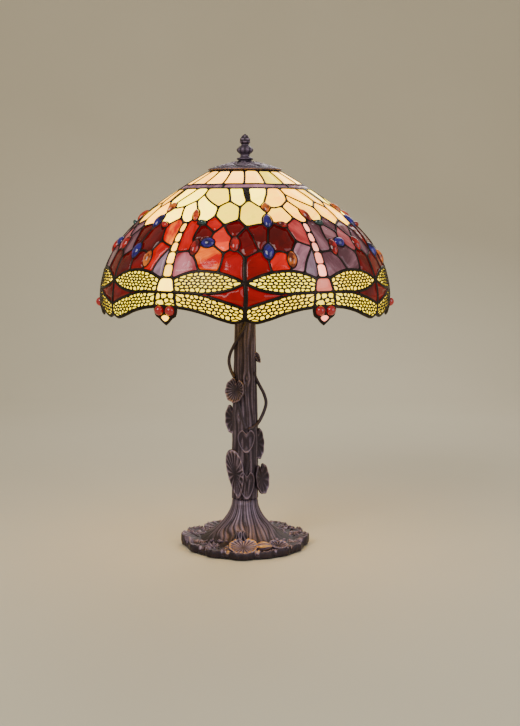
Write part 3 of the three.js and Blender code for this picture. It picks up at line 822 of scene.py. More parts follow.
def glass_piece(name, group, repeats):
    """All of a group's panes in the given repeats, each with its own shade, warmth and streaks."""
    chance = random.Random(name)
    corners = []
    faces = []
    attributes = {"tint": [], "streak": [], "sheet": []}
    for repeat in repeats:
        for pane in [pane for pane in CUT_PANES if family(pane) == group]:
            kind, flat, triangles, middle = CUT_PANES[pane]
            kind = RECUT[repeat % 2].get(pane, kind)
            cut = back_on_dome(flat, middle)
            lay_beside(corners, faces, thick_plate(cut, triangles, (0.0, -GLASS_THICKNESS), SPINES[repeat]))
            main, streak, glow = SHEETS[kind]
            lightness = chance.uniform(0.78, 1.16)
            warmth = chance.uniform(-0.07, 0.07)
            turn = chance.uniform(0, math.pi)
            offset = (chance.uniform(0, 9), chance.uniform(0, 9))
            tones = [
                [max(0.0, part * lightness * (1 + warmth * lean)) for part, lean in zip(colour, (1, 0, -1))]
                for colour in (main, streak)
            ]
            for x, y in np.tile(flat * MM, (2, 1)):
                attributes["tint"] += [*tones[0], glow]
                attributes["streak"] += [*tones[1], 1]
                attributes["sheet"] += [
                    x * math.cos(turn) - y * math.sin(turn) + offset[0],
                    x * math.sin(turn) + y * math.cos(turn) + offset[1],
                    repeat * 0.7,
                ]
    made = new_piece(name, corners, faces, SHEET_GLASS)
    for label, values in attributes.items():
        store(made, label, "FLOAT_VECTOR" if label == "sheet" else "FLOAT_COLOR", values)
    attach(made, "shade")
    return made


for group in ("crown_glass", "border_glass"):
    panes = glass_piece(f"{group}_panes", group, range(REPEATS))
    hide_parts(group)
for group in ("upper_glass", "field_glass", "dragonfly_glass"):
    for repeat in range(REPEATS):
        panes = glass_piece(f"{group}_panes_{repeat + 1}", group, [repeat])
        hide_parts(f"{group}_{repeat + 1}")


# ---------------------------------------------------------------------------------------------
# The cabochons: pressed glass jewels, domed outside and nearly flat inside, each held in a
# ring of lead of its own.

JEWELS = {
    "blue": ((0.003, 0.0005, 0.022), (0.015, 0.006, 0.17), 1.0),
    "red": ((0.07, 0.0005, 0.001), (0.46, 0.004, 0.003), 1.0),
    "green": ((0.004, 0.012, 0.014), (0.020, 0.06, 0.05), 1.0),
    "amber": ((0.10, 0.009, 0.001), (0.62, 0.13, 0.006), 1.0),
    "amber_red": ((0.12, 0.004, 0.002), (0.55, 0.045, 0.003), 1.0),
}
CABOCHON_HEIGHT = 4.2


def jewel_finish():
    jewel = Finish("pressed_glass_jewel")
    tint = jewel.stored("tint")
    glow = jewel.stored("tint", "Alpha")
    streak = jewel.stored("streak")
    swirl = jewel.noise(jewel.place(), 120.0, 2.0, 0.5, 0.6)
    colour = jewel.mix(((swirl - 0.38) * 4).clamped(), tint, streak)
    lit = jewel.times(colour, glow)
    unlit = jewel.times(colour, 0.35)
    jewel.set(
        Base_Color=unlit,
        Roughness=0.04,
        IOR=1.55,
        Coat_Weight=0.3,
        Emission_Color=lit,
        Emission_Strength=1.0,
        Normal=jewel.bump(swirl, 0.12, 0.001),
    )
    return jewel.material


def cabochons():
    corners = []
    faces = []
    attributes = {"tint": [], "streak": []}
    # rings of the dome, as the share of the way in to the middle and the share of the height
    steps = [(0, -0.1), (0.06, 0.16), (0.2, 0.48), (0.4, 0.76), (0.65, 0.94), (0.88, 1.0)]
    for spine in SPINES:
        for name, (middle, *shape, colour) in CABOCHONS.items():
            loop = cabochon_loop(name, draw_in=0.5)
            first = len(corners)
            for outside, height in ((True, CABOCHON_HEIGHT), (False, 1.4)):
                for share, rise in steps:
                    ring = loop + (np.array(middle) - loop) * share
                    lift = rise * height + 0.5 if outside else -GLASS_THICKNESS - rise * height
                    corners += list(on_dome(ring, lift, spine))
            count = CABOCHON_POINTS
            under = first + len(steps) * count
            for edge in (first, under):
                top = edge + (len(steps) - 1) * count
                for ring in range(edge, top, count):
                    faces += band(ring, ring + count, count)
                faces.append(tuple(range(top, top + count)))
            faces += band(first, under, count)
            main, streak, glow = JEWELS[colour]
            attributes["tint"] += [*main, glow] * (2 * len(steps) * count)
            attributes["streak"] += [*streak, 1] * (2 * len(steps) * count)
    made = new_piece("shade_cabochons", corners, faces, jewel_finish())
    for label, values in attributes.items():
        store(made, label, "FLOAT_COLOR", values)
    return made


jewels = cabochons()
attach(jewels, "shade")


# ---------------------------------------------------------------------------------------------
# The wings' filigree: thin brass sheet, etched through into a net of cells and patinated dark,
# soldered over the pale glass of each wing and of the body behind the eyes.

CELL_LENGTH = 6.6
CELL_HEIGHT = 3.6
CELL_STRETCH = 1.7
CELL_WALL = 0.82
WAIST_COARSENESS = 1.35
FILIGREE_LIFTS = (0.75, 0.05)


def clipped(polygon, middle, across):
    """The part of a convex polygon where points are nearer to the middle than to across."""
    halfway = (middle + across) / 2
    way = across - middle
    depth = (polygon - halfway) @ way
    kept = []
    for k in range(len(polygon)):
        after = (k + 1) % len(polygon)
        if depth[k] <= 0:
            kept.append(polygon[k])
        if (depth[k] <= 0) != (depth[after] <= 0):
            kept.append(polygon[k] + (polygon[after] - polygon[k]) * depth[k] / (depth[k] - depth[after]))
    return np.array(kept)


def cell_seeds(edge, length, height, chance):
    """The cells' middles in staggered rows, and mirror images of them outside the edge."""
    low = edge.min(0)
    high = edge.max(0)
    seeds = []
    for row, y in enumerate(np.arange(low[1], high[1], height)):
        for x in np.arange(low[0] + (row % 2) * length / 2, high[0], length):
            seeds.append((x + chance.uniform(-0.3, 0.3) * length, y + chance.uniform(-0.24, 0.24) * height))
    seeds = np.array(seeds)
    seeds = seeds[inside(seeds, edge)]
    run = np.roll(edge, -1, 0) - edge
    share = np.clip(((seeds[:, None] - edge[None]) * run).sum(2) / (run * run).sum(1), 0, 1)
    foot = edge + share[..., None] * run
    distance = np.linalg.norm(seeds[:, None] - foot, axis=2)
    keep = distance.min(1) > height * 0.3
    # each stretch of edge near a seed mirrors it, so that the cells end there
    nearer = (distance < np.roll(distance, 1, 1)) & (distance <= np.roll(distance, -1, 1))
    nearer &= (distance < max(length, height) * 1.6) & keep[:, None]
    mirrored = (2 * foot - seeds[:, None])[nearer]
    return seeds[keep], mirrored


def filigree_net(edge, coarseness, chance):
    """Flat faces of a pierced sheet: round each cell's hole, a strip out to its straight sides."""
    middle = edge.mean(0)
    along = np.linalg.svd(edge - middle, full_matrices=False)[2]
    drawn_out = along.T @ np.diag([CELL_STRETCH, 1]) @ along
    edge = (edge - middle) @ np.linalg.inv(drawn_out)
    length = CELL_LENGTH / CELL_STRETCH * coarseness
    seeds, guards = cell_seeds(edge, length, CELL_HEIGHT * coarseness, chance)
    everything = np.concatenate([seeds, guards])
    points = []
    known = {}
    faces = []

    def index_of(point, shared):
        key = (round(point[0], 2), round(point[1], 2)) if shared else len(points)
        if key not in known:
            known[key] = len(points)
            points.append(point)
        return known[key]

    reach = CELL_LENGTH * 2 * coarseness
    for seed in seeds:
        cell = seed + np.array([(-reach, -reach), (reach, -reach), (reach, reach), (-reach, reach)])
        distance = np.linalg.norm(everything - seed, axis=1)
        for other in np.argsort(distance)[1:22]:
            cell = clipped(cell, seed, everything[other])
        side = np.linalg.norm(np.roll(cell, -1, 0) - cell, axis=1)
        cell = cell[side > 0.02]
        if len(cell) < 3:
            continue
        cell = cell @ drawn_out + middle
        centre = cell.mean(0)
        middles = (cell + np.roll(cell, -1, 0)) / 2
        hole = []
        for corner, halfway in zip(cell, middles):
            out = np.linalg.norm(corner - centre)
            hole.append(centre + (corner - centre) * max(0.2, (out * 0.8 - CELL_WALL) / out))
            out = np.linalg.norm(halfway - centre)
            hole.append(centre + (halfway - centre) * max(0.2, (out - CELL_WALL) / out))
        outer = [index_of(corner, True) for corner in cell]
        inner = [index_of(point, False) for point in hole]
        for k in range(len(outer)):
            after = (k + 1) % len(outer)
            faces.append((outer[k], outer[after], inner[2 * after], inner[2 * k + 1], inner[2 * k]))
    return np.array(points), faces


FILIGREE = {}
for name, (kind, route) in PANES.items():
    if kind == "wing" and not name.endswith("left"):
        outline, lines = OUTLINES[name]
        middle = outline.mean(0)
        edge = on_bench(OPENINGS[name] + (outline - OPENINGS[name]) * 0.35, middle)
        coarseness = WAIST_COARSENESS if name == "waist" else 1.0
        flat, faces = filigree_net(edge, coarseness, random.Random(name))
        cells = back_on_dome(flat, middle)
        FILIGREE[name] = (cells, faces)
        if name != "waist":
            turned_over = [face[::-1] for face in faces]
            FILIGREE[name.replace("right", "left")] = (cells * np.array([-1, 1]), turned_over)


for number, spine in enumerate(SPINES, 1):
    corners = []
    faces = []
    for cells, net_faces in FILIGREE.values():
        lay_beside(corners, faces, thick_plate(cells, net_faces, FILIGREE_LIFTS, spine))
    filigree = new_piece(f"wing_filigree_{number}", corners, faces, LEAD_FINISH, smooth=False)
    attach(filigree, "shade")


# ---------------------------------------------------------------------------------------------
# The rim wire and the eyes. A tinned wire stiffens the wavy edge of the shade, and each
# dragonfly's eyes are two red glass beads set half way into its lead head.

class Recipe(Workings):
    """A Geometry Nodes tree: points or lines in, a finished piece out. Sizes are its inputs."""

    def __init__(self, name, **sizes):
        super().__init__(bpy.data.node_groups.new(name, "GeometryNodeTree"))
        self.sizes = sizes
        self.tree.interface.new_socket("Geometry", in_out="INPUT", socket_type="NodeSocketGeometry")
        for label in sizes:
            self.tree.interface.new_socket(label, in_out="INPUT", socket_type="NodeSocketFloat")
        self.tree.interface.new_socket("Geometry", in_out="OUTPUT", socket_type="NodeSocketGeometry")
        self.entry = self.tree.nodes.new("NodeGroupInput")

    def given(self, label):
        return Quantity(self.tree, self.entry.outputs[label])

    def ends_in(self, shape, material):
        whole = self.node("GeometryNodeRealizeInstances", {}, {0: shape})
        smooth = self.node("GeometryNodeSetShadeSmooth", {}, {0: whole})
        dressed = self.node("GeometryNodeSetMaterial", {}, {"Geometry": smooth, "Material": material})
        self.tree.links.new(dressed.socket, self.tree.nodes.new("NodeGroupOutput").inputs[0])

    def made(self, name, corners, edges=()):
        start = bpy.data.meshes.new(f"{name}_start")
        start.from_pydata([tuple(corner) for corner in corners], list(edges), [])
        source = bpy.data.objects.new(f"{name}_start", start)
        bpy.context.collection.objects.link(source)
        modifier = source.modifiers.new("recipe", "NODES")
        modifier.node_group = self.tree
        for item in self.tree.interface.items_tree:
            if item.in_out == "INPUT" and item.name in self.sizes:
                modifier[item.identifier] = self.sizes[item.name]
        finished = source.evaluated_get(bpy.context.evaluated_depsgraph_get())
        mesh = bpy.data.meshes.new_from_object(finished)
        mesh.name = name
        bpy.data.objects.remove(source)
        piece = bpy.data.objects.new(name, mesh)
        bpy.context.collection.objects.link(piece)
        return piece


def wire_recipe(name, radius, material, closed=False):
    wire = Recipe(name, Radius=radius)
    path = wire.node("GeometryNodeMeshToCurve", {}, {0: wire.given("Geometry")})
    circle = {"Resolution": 10, "Radius": wire.given("Radius")}
    section = wire.node("GeometryNodeCurvePrimitiveCircle", {}, circle)
    swept = wire.node("GeometryNodeCurveToMesh", {}, {
        "Curve": path, "Profile Curve": section, "Fill Caps": not closed,
    })
    wire.ends_in(swept, material)
    return wire


RIM_WIRE_RADIUS = 1.7
RIM_WIRE_DROP = 0.7
RIM_ROUTE = "v4- z4l z3l z2l z1l basel cheekl jawl chinl tip chinr jawr cheekr baser z1r z2r z3r z4r v4"

rim_names = RIM_ROUTE.split()
rim_line = np.concatenate([lead_line(first, last)[:-1] for first, last in zip(rim_names, rim_names[1:])])
rim_line[:, 1] += RIM_WIRE_DROP
rim_places = np.concatenate([on_dome(rim_line, -GLASS_THICKNESS / 2, spine) for spine in SPINES])
rim_edges = [(k, (k + 1) % len(rim_places)) for k in range(len(rim_places))]
rim = wire_recipe("rim_wire_recipe", RIM_WIRE_RADIUS * MM, LEAD_FINISH, closed=True).made(
    "shade_rim_wire", rim_places, rim_edges,
)
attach(rim, "shade")
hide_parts("rim_wire")

EYE_RADIUS = 6.2
EYE_LIFT = 0.6
EYE_PLACES = np.array([(-2.25, 243.2), (2.25, 243.2)])


def eye_finish():
    bead = Finish("red_glass_bead")
    swirl = bead.noise(bead.place(), 160.0, 2.0)
    colour = bead.mix(swirl, (0.12, 0.002, 0.004), (0.34, 0.006, 0.010))
    # the beads get a painted glow, as though lamp light came through them, though solid lead is behind them
    bead.set(
        Base_Color=colour,
        Roughness=0.06,
        IOR=1.55,
        Coat_Weight=0.5,
        Emission_Color=colour,
        Emission_Strength=0.7,
    )
    return bead.material


beads = Recipe("bead_recipe", Radius=EYE_RADIUS * MM)
ball = beads.node("GeometryNodeMeshIcoSphere", {}, {"Radius": beads.given("Radius"), "Subdivisions": 4})
both = {"Points": beads.given("Geometry"), "Instance": ball}
beads.ends_in(beads.node("GeometryNodeInstanceOnPoints", {}, both), eye_finish())
eye_places = np.concatenate([on_dome(EYE_PLACES, EYE_LIFT, spine) for spine in SPINES])
eyes = beads.made("dragonfly_eyes", eye_places)
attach(eyes, "shade")


# ---------------------------------------------------------------------------------------------
# The foot: one hollow bronze casting. Grooved roots run down from the trunk and out between
# floating lily pads, whose lobes make the wavy edge, with buds and pebbles lying among them.

def bronze_finish():
    bronze = Finish("antique_bronze")
    worn = bronze.stored("worn", "Fac")
    place = bronze.place()
    patches = bronze.noise(place, 30.0, 4.0, 0.6)
    grain = bronze.noise(place, 450.0, 3.0, 0.6)
    patina = bronze.ramp(patches, [
        (0.32, (0.017, 0.011, 0.020)),
        (0.5, (0.036, 0.024, 0.043)),
        (0.7, (0.066, 0.047, 0.082)),
    ])
    rubbed = (worn + (patches + grain * 0.5 - 0.78) * 0.35).clamped()
    metal = bronze.ramp(rubbed, [
        (0.0, (0.012, 0.008, 0.012)),
        (0.25, (0.050, 0.037, 0.054)),
        (0.55, (0.23, 0.17, 0.25)),
        (0.78, (0.36, 0.27, 0.35)),
        (0.88, (0.50, 0.30, 0.16)),
        (1.0, (0.85, 0.42, 0.09)),
    ])
    bronze.set(
        Base_Color=bronze.mix((rubbed * 4).clamped() * 0.7 + 0.3, patina, metal),
        Metallic=0.55,
        Roughness=0.5 - rubbed * 0.15,
        Normal=bronze.bump(grain + patches * 0.5, 0.4, 0.0012),
    )
    return bronze.material


BRONZE = bronze_finish()


def closed_rings(name, rings, worn, solid=False):
    """A turned piece from its rings of points: hollow, the last ring joined back to the first, or
    solid, with those two closed across instead."""
    count = len(rings[0])
    faces = []
    for level in range(len(rings) - solid):
        faces += band(level * count, (level + 1) % len(rings) * count, count)
    if solid:
        faces += [tuple(range(count)), tuple(range((len(rings) - 1) * count, len(rings) * count))]
    return cast_piece(name, np.concatenate(rings), faces, np.concatenate(worn))


def cast_piece(name, corners, faces, worn):
    made = new_piece(name, corners * MM, faces, BRONZE)
    store(made, "worn", "FLOAT", worn)
    return made


class Turning:
    """A casting being built up from rings of points round the lamp's axis."""

    def __init__(self, count):
        self.angle = np.arange(count) * 2 * math.pi / count
        self.rings = []
        self.worn = []

    def add(self, radius, height, rubbed=0.0):
        around = [radius * np.sin(self.angle), -radius * np.cos(self.angle), height + 0 * self.angle]
        self.rings.append(np.stack(around, 1))
        self.worn.append(rubbed + 0 * self.angle)

    def cast(self, name, solid=False):
        return closed_rings(name, self.rings, self.worn, solid)


foot_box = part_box("root_base")
FOOT_RADIUS = foot_box[1].y / MM
FOOT_BOTTOM = foot_box[0].z / MM
FOOT_WALL = 4
ROOT_TOP = foot_box[1].z / MM
BORE = 5.3
FOOT_ANGLES = 420
FLARE = np.array([
    (17.6, ROOT_TOP), (17.9, 60), (19.2, 53), (21.8, 46), (25.5, 39), (30.5, 32.0), (37, 25.3),
    (45, 18.8), (54, 13.2), (62, 9.6), (70, 7.6), (80, 6.6), (92, 6.2),
])
ROOT_GROOVES = ((13, 1.1, 0.5), (39, 1.5, 1.7), (61, 0.6, 0.2))
ROOT_REACH = 54
PAD_HEIGHT = 9.3
PAD_VEIN_HEIGHT = 1.3
PAD_EDGE_ROLL = 2.6
# the pads at the front, which are coloured more golden than the rest
GOLDEN_FRONT_PADS = (-3, 21)
# lily pads: degrees from the front, distance out and radius in mm, which way the notch faces, and
# how far the outer side is tipped up
LILY_PADS = [
    (-86, 65, 25, 130, 0.20), (-57, 72, 17, 150, 0.1), (-31, 74, 16, 60, 0.05), (-3, 67, 24, 190, 0.0),
    (21, 72, 16, 150, 0.0), (39, 73, 16, 20, 0.05), (60, 72, 17, 130, 0.1), (87, 65, 25, 60, 0.2),
    (114, 71, 18, 60, 0.1), (143, 66, 24, 170, 0.1), (177, 66, 20, 100, 0.1), (212, 66, 24, 10, 0.1),
    (247, 71, 18, 220, 0.1),
]


def turned_apart(first, second):
    return (first - second + math.pi) % (2 * math.pi) - math.pi


def foot_edge(angle):
    """How far out the foot reaches: to the outer lobes of its pads, which overlap a round plate."""
    reach = np.full_like(angle, FOOT_RADIUS - 1.8)
    for degrees, out, size, notch, tip in LILY_PADS:
        away = turned_apart(angle, math.radians(degrees))
        half_chord = size ** 2 - (out * np.sin(away)) ** 2
        lobe = out * np.cos(away) + np.sqrt(np.clip(half_chord, 0, None))
        reach = np.maximum(reach, np.where((half_chord > 0) & (np.cos(away) > 0), lobe, 0))
    return reach + 0.4 * np.sin(angle * 37) + 0.3 * np.sin(angle * 61 + 1)


def ridges(angle, count, bend):
    """Rounded ridges with sharp grooves between them, from 0 in a groove to 1 on a ridge."""
    return np.abs(np.sin(angle * count / 2 + bend)) ** 0.7


def foot_top(radius, angle):
    """Height of the foot's upper face, and how far each point has been rubbed bright."""
    height = np.interp(radius, *FLARE.T)
    out = np.clip((radius - 17) / (ROOT_REACH - 17), 0, 1.4)
    strength = np.clip(1.2 - out, 0, 1) * (0.6 + out)
    sway = 0.9 * np.sin(radius / 9 + 2 * np.sin(angle * 2)) + 0.5 * np.sin(angle * 5 + radius / 6)
    sway = sway * np.clip(out * 2, 0.3, 1)
    relief = np.zeros_like(height)
    for count, depth, shift in ROOT_GROOVES:
        relief = relief + depth * ridges(angle, count, sway * (1 + count / 30) + shift)
    height = height + relief * strength
    raised = 0.06 + (relief / 3.2) ** 2 * 0.62 * np.clip(strength * 1.5, 0, 1)
    wander = 0.5 * np.sin(angle * 31 + radius) * np.sin(radius * 1.3 + angle * 17)
    height = height + wander * np.clip((radius - ROOT_REACH) / 8, 0, 1)
    for degrees, out, size, notch, tip in LILY_PADS:
        way = math.radians(degrees)
        x = radius * np.sin(angle) - out * math.sin(way)
        y = -radius * np.cos(angle) + out * math.cos(way)
        bearing = np.arctan2(y, x)
        ruffle = 1 + 0.04 * np.sin(bearing * 7 + degrees) + 0.02 * np.sin(bearing * 13)
        across = np.hypot(x, y) / size / ruffle
        cut = np.abs(turned_apart(bearing, math.radians(notch))) * across * size
        on_pad = np.clip((1 - across) * size / 1.0, 0, 1) * np.clip((cut - 0.7) / 1.2, 0, 1)
        veins = np.abs(np.cos(bearing * 6)) ** 5 * PAD_VEIN_HEIGHT * np.clip(across * 1.4, 0.1, 1)
        rolled = PAD_EDGE_ROLL * np.clip((across - 0.72) / 0.28, 0, 1) ** 1.6
        tipped = tip * (x * math.sin(way) - y * math.cos(way))
        pad = PAD_HEIGHT + veins + rolled * (1 + 0.3 * np.sin(bearing * 5)) + 0.8 * math.sin(degrees) + tipped
        lift = np.clip(pad - height, 0, None) * on_pad
        height = height + lift
        gold_boost = 1.5 if degrees in GOLDEN_FRONT_PADS else 0.95
        raised = np.where(lift > 0.05, gold_boost * (0.12 + 0.3 * veins + 0.17 * rolled), raised)
    return height, np.clip(raised, 0, 1)


def foot():
    casting = Turning(FOOT_ANGLES)
    angle = casting.angle
    edge = foot_edge(angle)
    for share in np.concatenate([np.linspace(0, 0.3, 22), np.linspace(0.312, 0.975, 62)]):
        radius = FLARE[0, 0] + (edge - FLARE[0, 0]) * share
        height, raised = foot_top(radius, angle)
        # the roots' top ring stays level, so that the trunk sits flat on it
        blend = np.clip((radius - FLARE[0, 0]) / 3, 0, 1)
        level = height * blend + (1 - blend) * np.minimum(height, ROOT_TOP)
        casting.add(radius, np.where(blend < 1, level, height), raised)
    last = casting.rings[-1][:, 2]
    for out, drop in ((-0.8, 0.07), (0, 0.27), (0.2, 0.6), (-0.4, 0.9)):
        side = edge + out - 0.9 * drop * ridges(angle, 46, np.sin(angle * 3))
        casting.add(side, last + (FOOT_BOTTOM - last) * drop, 0.2 - drop * 0.12)
    casting.add(edge - 1.2, FOOT_BOTTOM)
    casting.add(edge - FOOT_WALL - 1, FOOT_BOTTOM)
    for out, height in FLARE[-3::-1]:
        casting.add(min(out, FOOT_RADIUS) - FOOT_WALL, height - FOOT_WALL)
    casting.add(BORE, FLARE[0, 1] - 8)
    casting.add(BORE, ROOT_TOP)
    return casting.cast("foot_casting")


foot_casting = foot()
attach(foot_casting, "root")
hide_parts("root_base")


# leaf outlines as [across, along] of a turn round them, the stem's end being at 1 along
def pad_outline(turn):
    reach = (1 - np.exp(-(turned_apart(turn, 0) / 0.2) ** 2) * 0.5) * (1 + 0.03 * np.sin(turn * 9))
    return np.sin(turn) * reach, np.cos(turn) * reach


def heart_outline(turn):
    across = np.sin(turn) * (0.82 + 0.26 * np.cos(turn))
    return across, np.cos(turn) - 0.42 * np.exp(-(turned_apart(turn, 0) / 0.28) ** 2)


def blade_outline(turn):
    return np.sin(turn) * (0.85 + 0.15 * np.cos(turn)) * np.abs(np.cos(turn / 2)) ** 0.3, np.cos(turn)


LEAF_POINTS = 72
LEAF_STEPS = (0.05, 0.2, 0.36, 0.52, 0.67, 0.79, 0.87, 0.93, 0.97, 1.0)


def leaf(
    outline, place, half_size, facing, lean=0, spin=0,
    cup=0.0, hug=0.0, veins=9, depth=1.0, rim=1.3, thick=2.6, gilt=1.0,
):
    """A closed leaf as points, faces and wear. Its face has a rolled edge and raised veins, its
    back is plain. It faces outwards at facing degrees from the front, leaning and spun from there."""
    turn = np.arange(LEAF_POINTS) * 2 * math.pi / LEAF_POINTS
    across, along = outline(turn)
    levels = []
    worn = []
    for front, steps in ((True, LEAF_STEPS), (False, LEAF_STEPS[::-1])):
        for share in steps:
            x = across * share * half_size[0]
            rise = cup * share ** 2 - x ** 2 * hug
            if front:
                vein = np.abs(np.cos(turn * veins / 2)) ** 5 * min(1, share * 1.8) * (share < 0.95)
                roll = 1.0 if 0.9 < share < 0.99 else 0.35 * (share > 0.85)
                rise = rise + vein * depth + roll * rim
                rubbed = 0.1 + 0.42 * vein * depth ** 0.5 + 0.36 * roll
                worn.append(gilt * rubbed + (gilt - 1) * 0.3 + 0 * x)
            else:
                rise = rise - thick * (1 if share < 0.99 else 0.5)
                worn.append(0.05 + 0 * x)
            levels.append(np.stack([x, -rise, along * share * half_size[1]], 1))
    turned = (
        Matrix.Rotation(math.radians(facing), 3, "Z") @ Matrix.Rotation(math.radians(lean), 3, "X")
        @ Matrix.Rotation(math.radians(spin), 3, "Y")
    )
    points = np.concatenate(levels) @ np.array(turned).T + np.array(place)
    count = LEAF_POINTS
    last = (len(levels) - 1) * count
    faces = [face for ring in range(0, last, count) for face in band(ring, ring + count, count)]
    faces += [tuple(range(count)), tuple(range(last, last + count))]
    return points, faces, np.concatenate(worn)


def cast_leaves(name, leaves):
    corners = []
    faces = []
    worn = []
    for *shape, rubbed in leaves:
        lay_beside(corners, faces, shape)
        worn += list(rubbed)
    return cast_piece(name, np.array(corners), faces, worn)


# a half-open water lily leans on the roots at the front, over a leaf that faces the viewer; the lily, that leaf
# and the pads at the front are coloured more golden than the rest
LILY_MIDDLE = (-6, -52, 22)

petals = []
for facing, out, lean, half_size in (
    (-75, 9, -14, (7, 11)), (-40, 7, -24, (7.5, 12)), (-5, 6, -30, (8, 12)), (32, 7, -24, (7.5, 12)),
    (70, 9, -14, (7, 11)), (-22, 2, -8, (6, 11)), (15, 2, -8, (6, 11)),
):
    way = math.radians(facing)
    place = (LILY_MIDDLE[0] + out * math.sin(way), LILY_MIDDLE[1] - out * math.cos(way), LILY_MIDDLE[2])
    petals.append(leaf(
        blade_outline, place, half_size, facing, lean,
        cup=-1.6, veins=4, depth=0.3, rim=0.5, thick=1.6, gilt=1.25,
    ))
petals.append(leaf(
    pad_outline, (-2, -69, 13.2), (20, 15.5), -2, -64, cup=2.5, veins=19, depth=1.3, rim=1.4, gilt=1.5,
))
petals.append(leaf(pad_outline, (45, -61, 13.5), (13, 10), 34, -70, 20, cup=2.0, veins=13, rim=1.5, gilt=1.2))
lily = cast_leaves("foot_lily", petals)


def lying_bud(place, along, length, width):
    """A closed bud on its side, with the seams of its petals running from base to tip."""
    turn = np.arange(40) * 2 * math.pi / 40
    rings = []
    worn = []
    for share in np.linspace(0, 1, 18):
        body = math.sin(math.pi * share ** 0.8) ** 0.75 + 0.02
        seams = np.abs(np.sin(turn * 2.5 + share * 1.5)) ** 0.6
        radius = width / 2 * body * (0.86 + 0.14 * seams)
        ring = [(share - 0.5) * length + 0 * turn, radius * np.cos(turn), radius * np.sin(turn) * 0.8]
        rings.append(np.stack(ring, 1))
        worn.append(0.15 + 0.85 * seams)
    swing = np.array(Matrix.Rotation(math.radians(along), 3, "Z"))
    rings = [ring @ swing.T + np.array(place) for ring in rings]
    return closed_rings("foot_bud", rings, worn, solid=True)


bud = lying_bud((26, -68, 15), -4, 23, 15)
for casting in (lily, bud):
    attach(casting, "root")

# pebbles lie in drifts between the pads: degrees from the front, spread in degrees, and how many
PEBBLE_RADIUS = 2.1
PEBBLE_REACH = (52, 81)
PEBBLE_DRIFTS = [
    (-44, 16, 34), (49, 15, 34), (126, 14, 20), (-128, 18, 24), (162, 12, 14), (-100, 6, 8), (99, 7, 8),
]

chance = random.Random(11)
pebble_places = []
for degrees, spread, number in PEBBLE_DRIFTS:
    for _ in range(number):
        way = math.radians(degrees + chance.gauss(0, spread / 2))
        out = chance.uniform(*PEBBLE_REACH)
        height = foot_top(np.array([out]), np.array([way]))[0][0]
        pebble_places.append((out * math.sin(way) * MM, -out * math.cos(way) * MM, (height + 0.3) * MM))
pebbles = Recipe("pebble_recipe", Radius=PEBBLE_RADIUS * MM)
stone = pebbles.node("GeometryNodeMeshIcoSphere", {}, {"Radius": pebbles.given("Radius"), "Subdivisions": 2})
sizes, turned = [
    pebbles.node("FunctionNodeRandomValue", {"data_type": "FLOAT_VECTOR"}, {0: least, 1: most, "Seed": seed})
    for least, most, seed in (((0.6, 0.6, 0.45), (1.3, 1.3, 0.9), 4), ((-0.4, -0.4, 0), (0.4, 0.4, 6), 9))
]
strewn = pebbles.node("GeometryNodeInstanceOnPoints", {}, {
    "Points": pebbles.given("Geometry"), "Instance": stone, "Scale": sizes, "Rotation": turned,
})
pebbles.ends_in(strewn, BRONZE)
foot_pebbles = pebbles.made("foot_pebbles", pebble_places)
store(foot_pebbles, "worn", "FLOAT", [0.5] * len(foot_pebbles.data.vertices))
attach(foot_pebbles, "root")


# ---------------------------------------------------------------------------------------------
# The trunk: a hollow bronze casting over the threaded pipe, ribbed like a tree. Water-lily
# stems loop away from it and back, and end in pads and leaves cast on to its sides.

trunk_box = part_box("trunk")
TRUNK_BOTTOM = trunk_box[0].z / MM
TRUNK_TOP = trunk_box[1].z / MM
TRUNK_WALL = 4
TRUNK_ANGLES = 132
TRUNK_SIDES = np.array([
    (TRUNK_BOTTOM, 17.6), (100, 17.1), (146, 17.4), (200, 16.1), (242, 14.9), (302, 13.6), (TRUNK_TOP, 13.3),
])
BARK_RIBS = ((9, 1.1, 0.4), (19, 1.0, 1.1), (37, 0.4, 2.0))
# knots in the bark: degrees from the front and height
KNOTS = [(9, 236), (-150, 250), (160, 140), (-110, 120), (120, 290), (-28, 186)]


def trunk_radius(height):
    return np.interp(height, *TRUNK_SIDES.T)


def trunk():
    casting = Turning(TRUNK_ANGLES)
    angle = casting.angle
    for height in np.linspace(TRUNK_BOTTOM, TRUNK_TOP, 150):
        sway = 0.9 * np.sin(height / 33 + 1.5 * np.sin(angle)) + 0.4 * np.sin(height / 11 + 3 * angle)
        knots = np.zeros_like(angle)
        bend = np.zeros_like(angle)
        for degrees, z in KNOTS:
            away = turned_apart(angle, math.radians(degrees)) * 15
            near = np.exp(-((height - z) / 9) ** 2 - (away / 5) ** 2)
            eye = np.hypot((height - z) / 8, away / 3.4)
            knots = knots + near * (0.9 + 1.1 * np.cos(eye * 5))
            bend = bend + 1.3 * np.tanh(away / 2) * near
        relief = sum(depth * ridges(angle, count, sway + shift - bend) for count, depth, shift in BARK_RIBS)
        rubbed = 0.04 + (relief / 2.5) ** 2 * 0.42 + knots * 0.08
        casting.add(trunk_radius(height) - 1.1 + relief + knots, height, rubbed)
    casting.add(BORE, TRUNK_TOP)
    for height in np.linspace(TRUNK_TOP - TRUNK_WALL, TRUNK_BOTTOM + TRUNK_WALL, 12):
        casting.add(trunk_radius(height) - TRUNK_WALL, height)
    casting.add(BORE, TRUNK_BOTTOM + TRUNK_WALL)
    casting.add(BORE, TRUNK_BOTTOM)
    return casting.cast("trunk_casting")


def beside_trunk(degrees, off, height):
    radius = trunk_radius(height) + off
    return radius * math.sin(math.radians(degrees)), -radius * math.cos(math.radians(degrees)), height


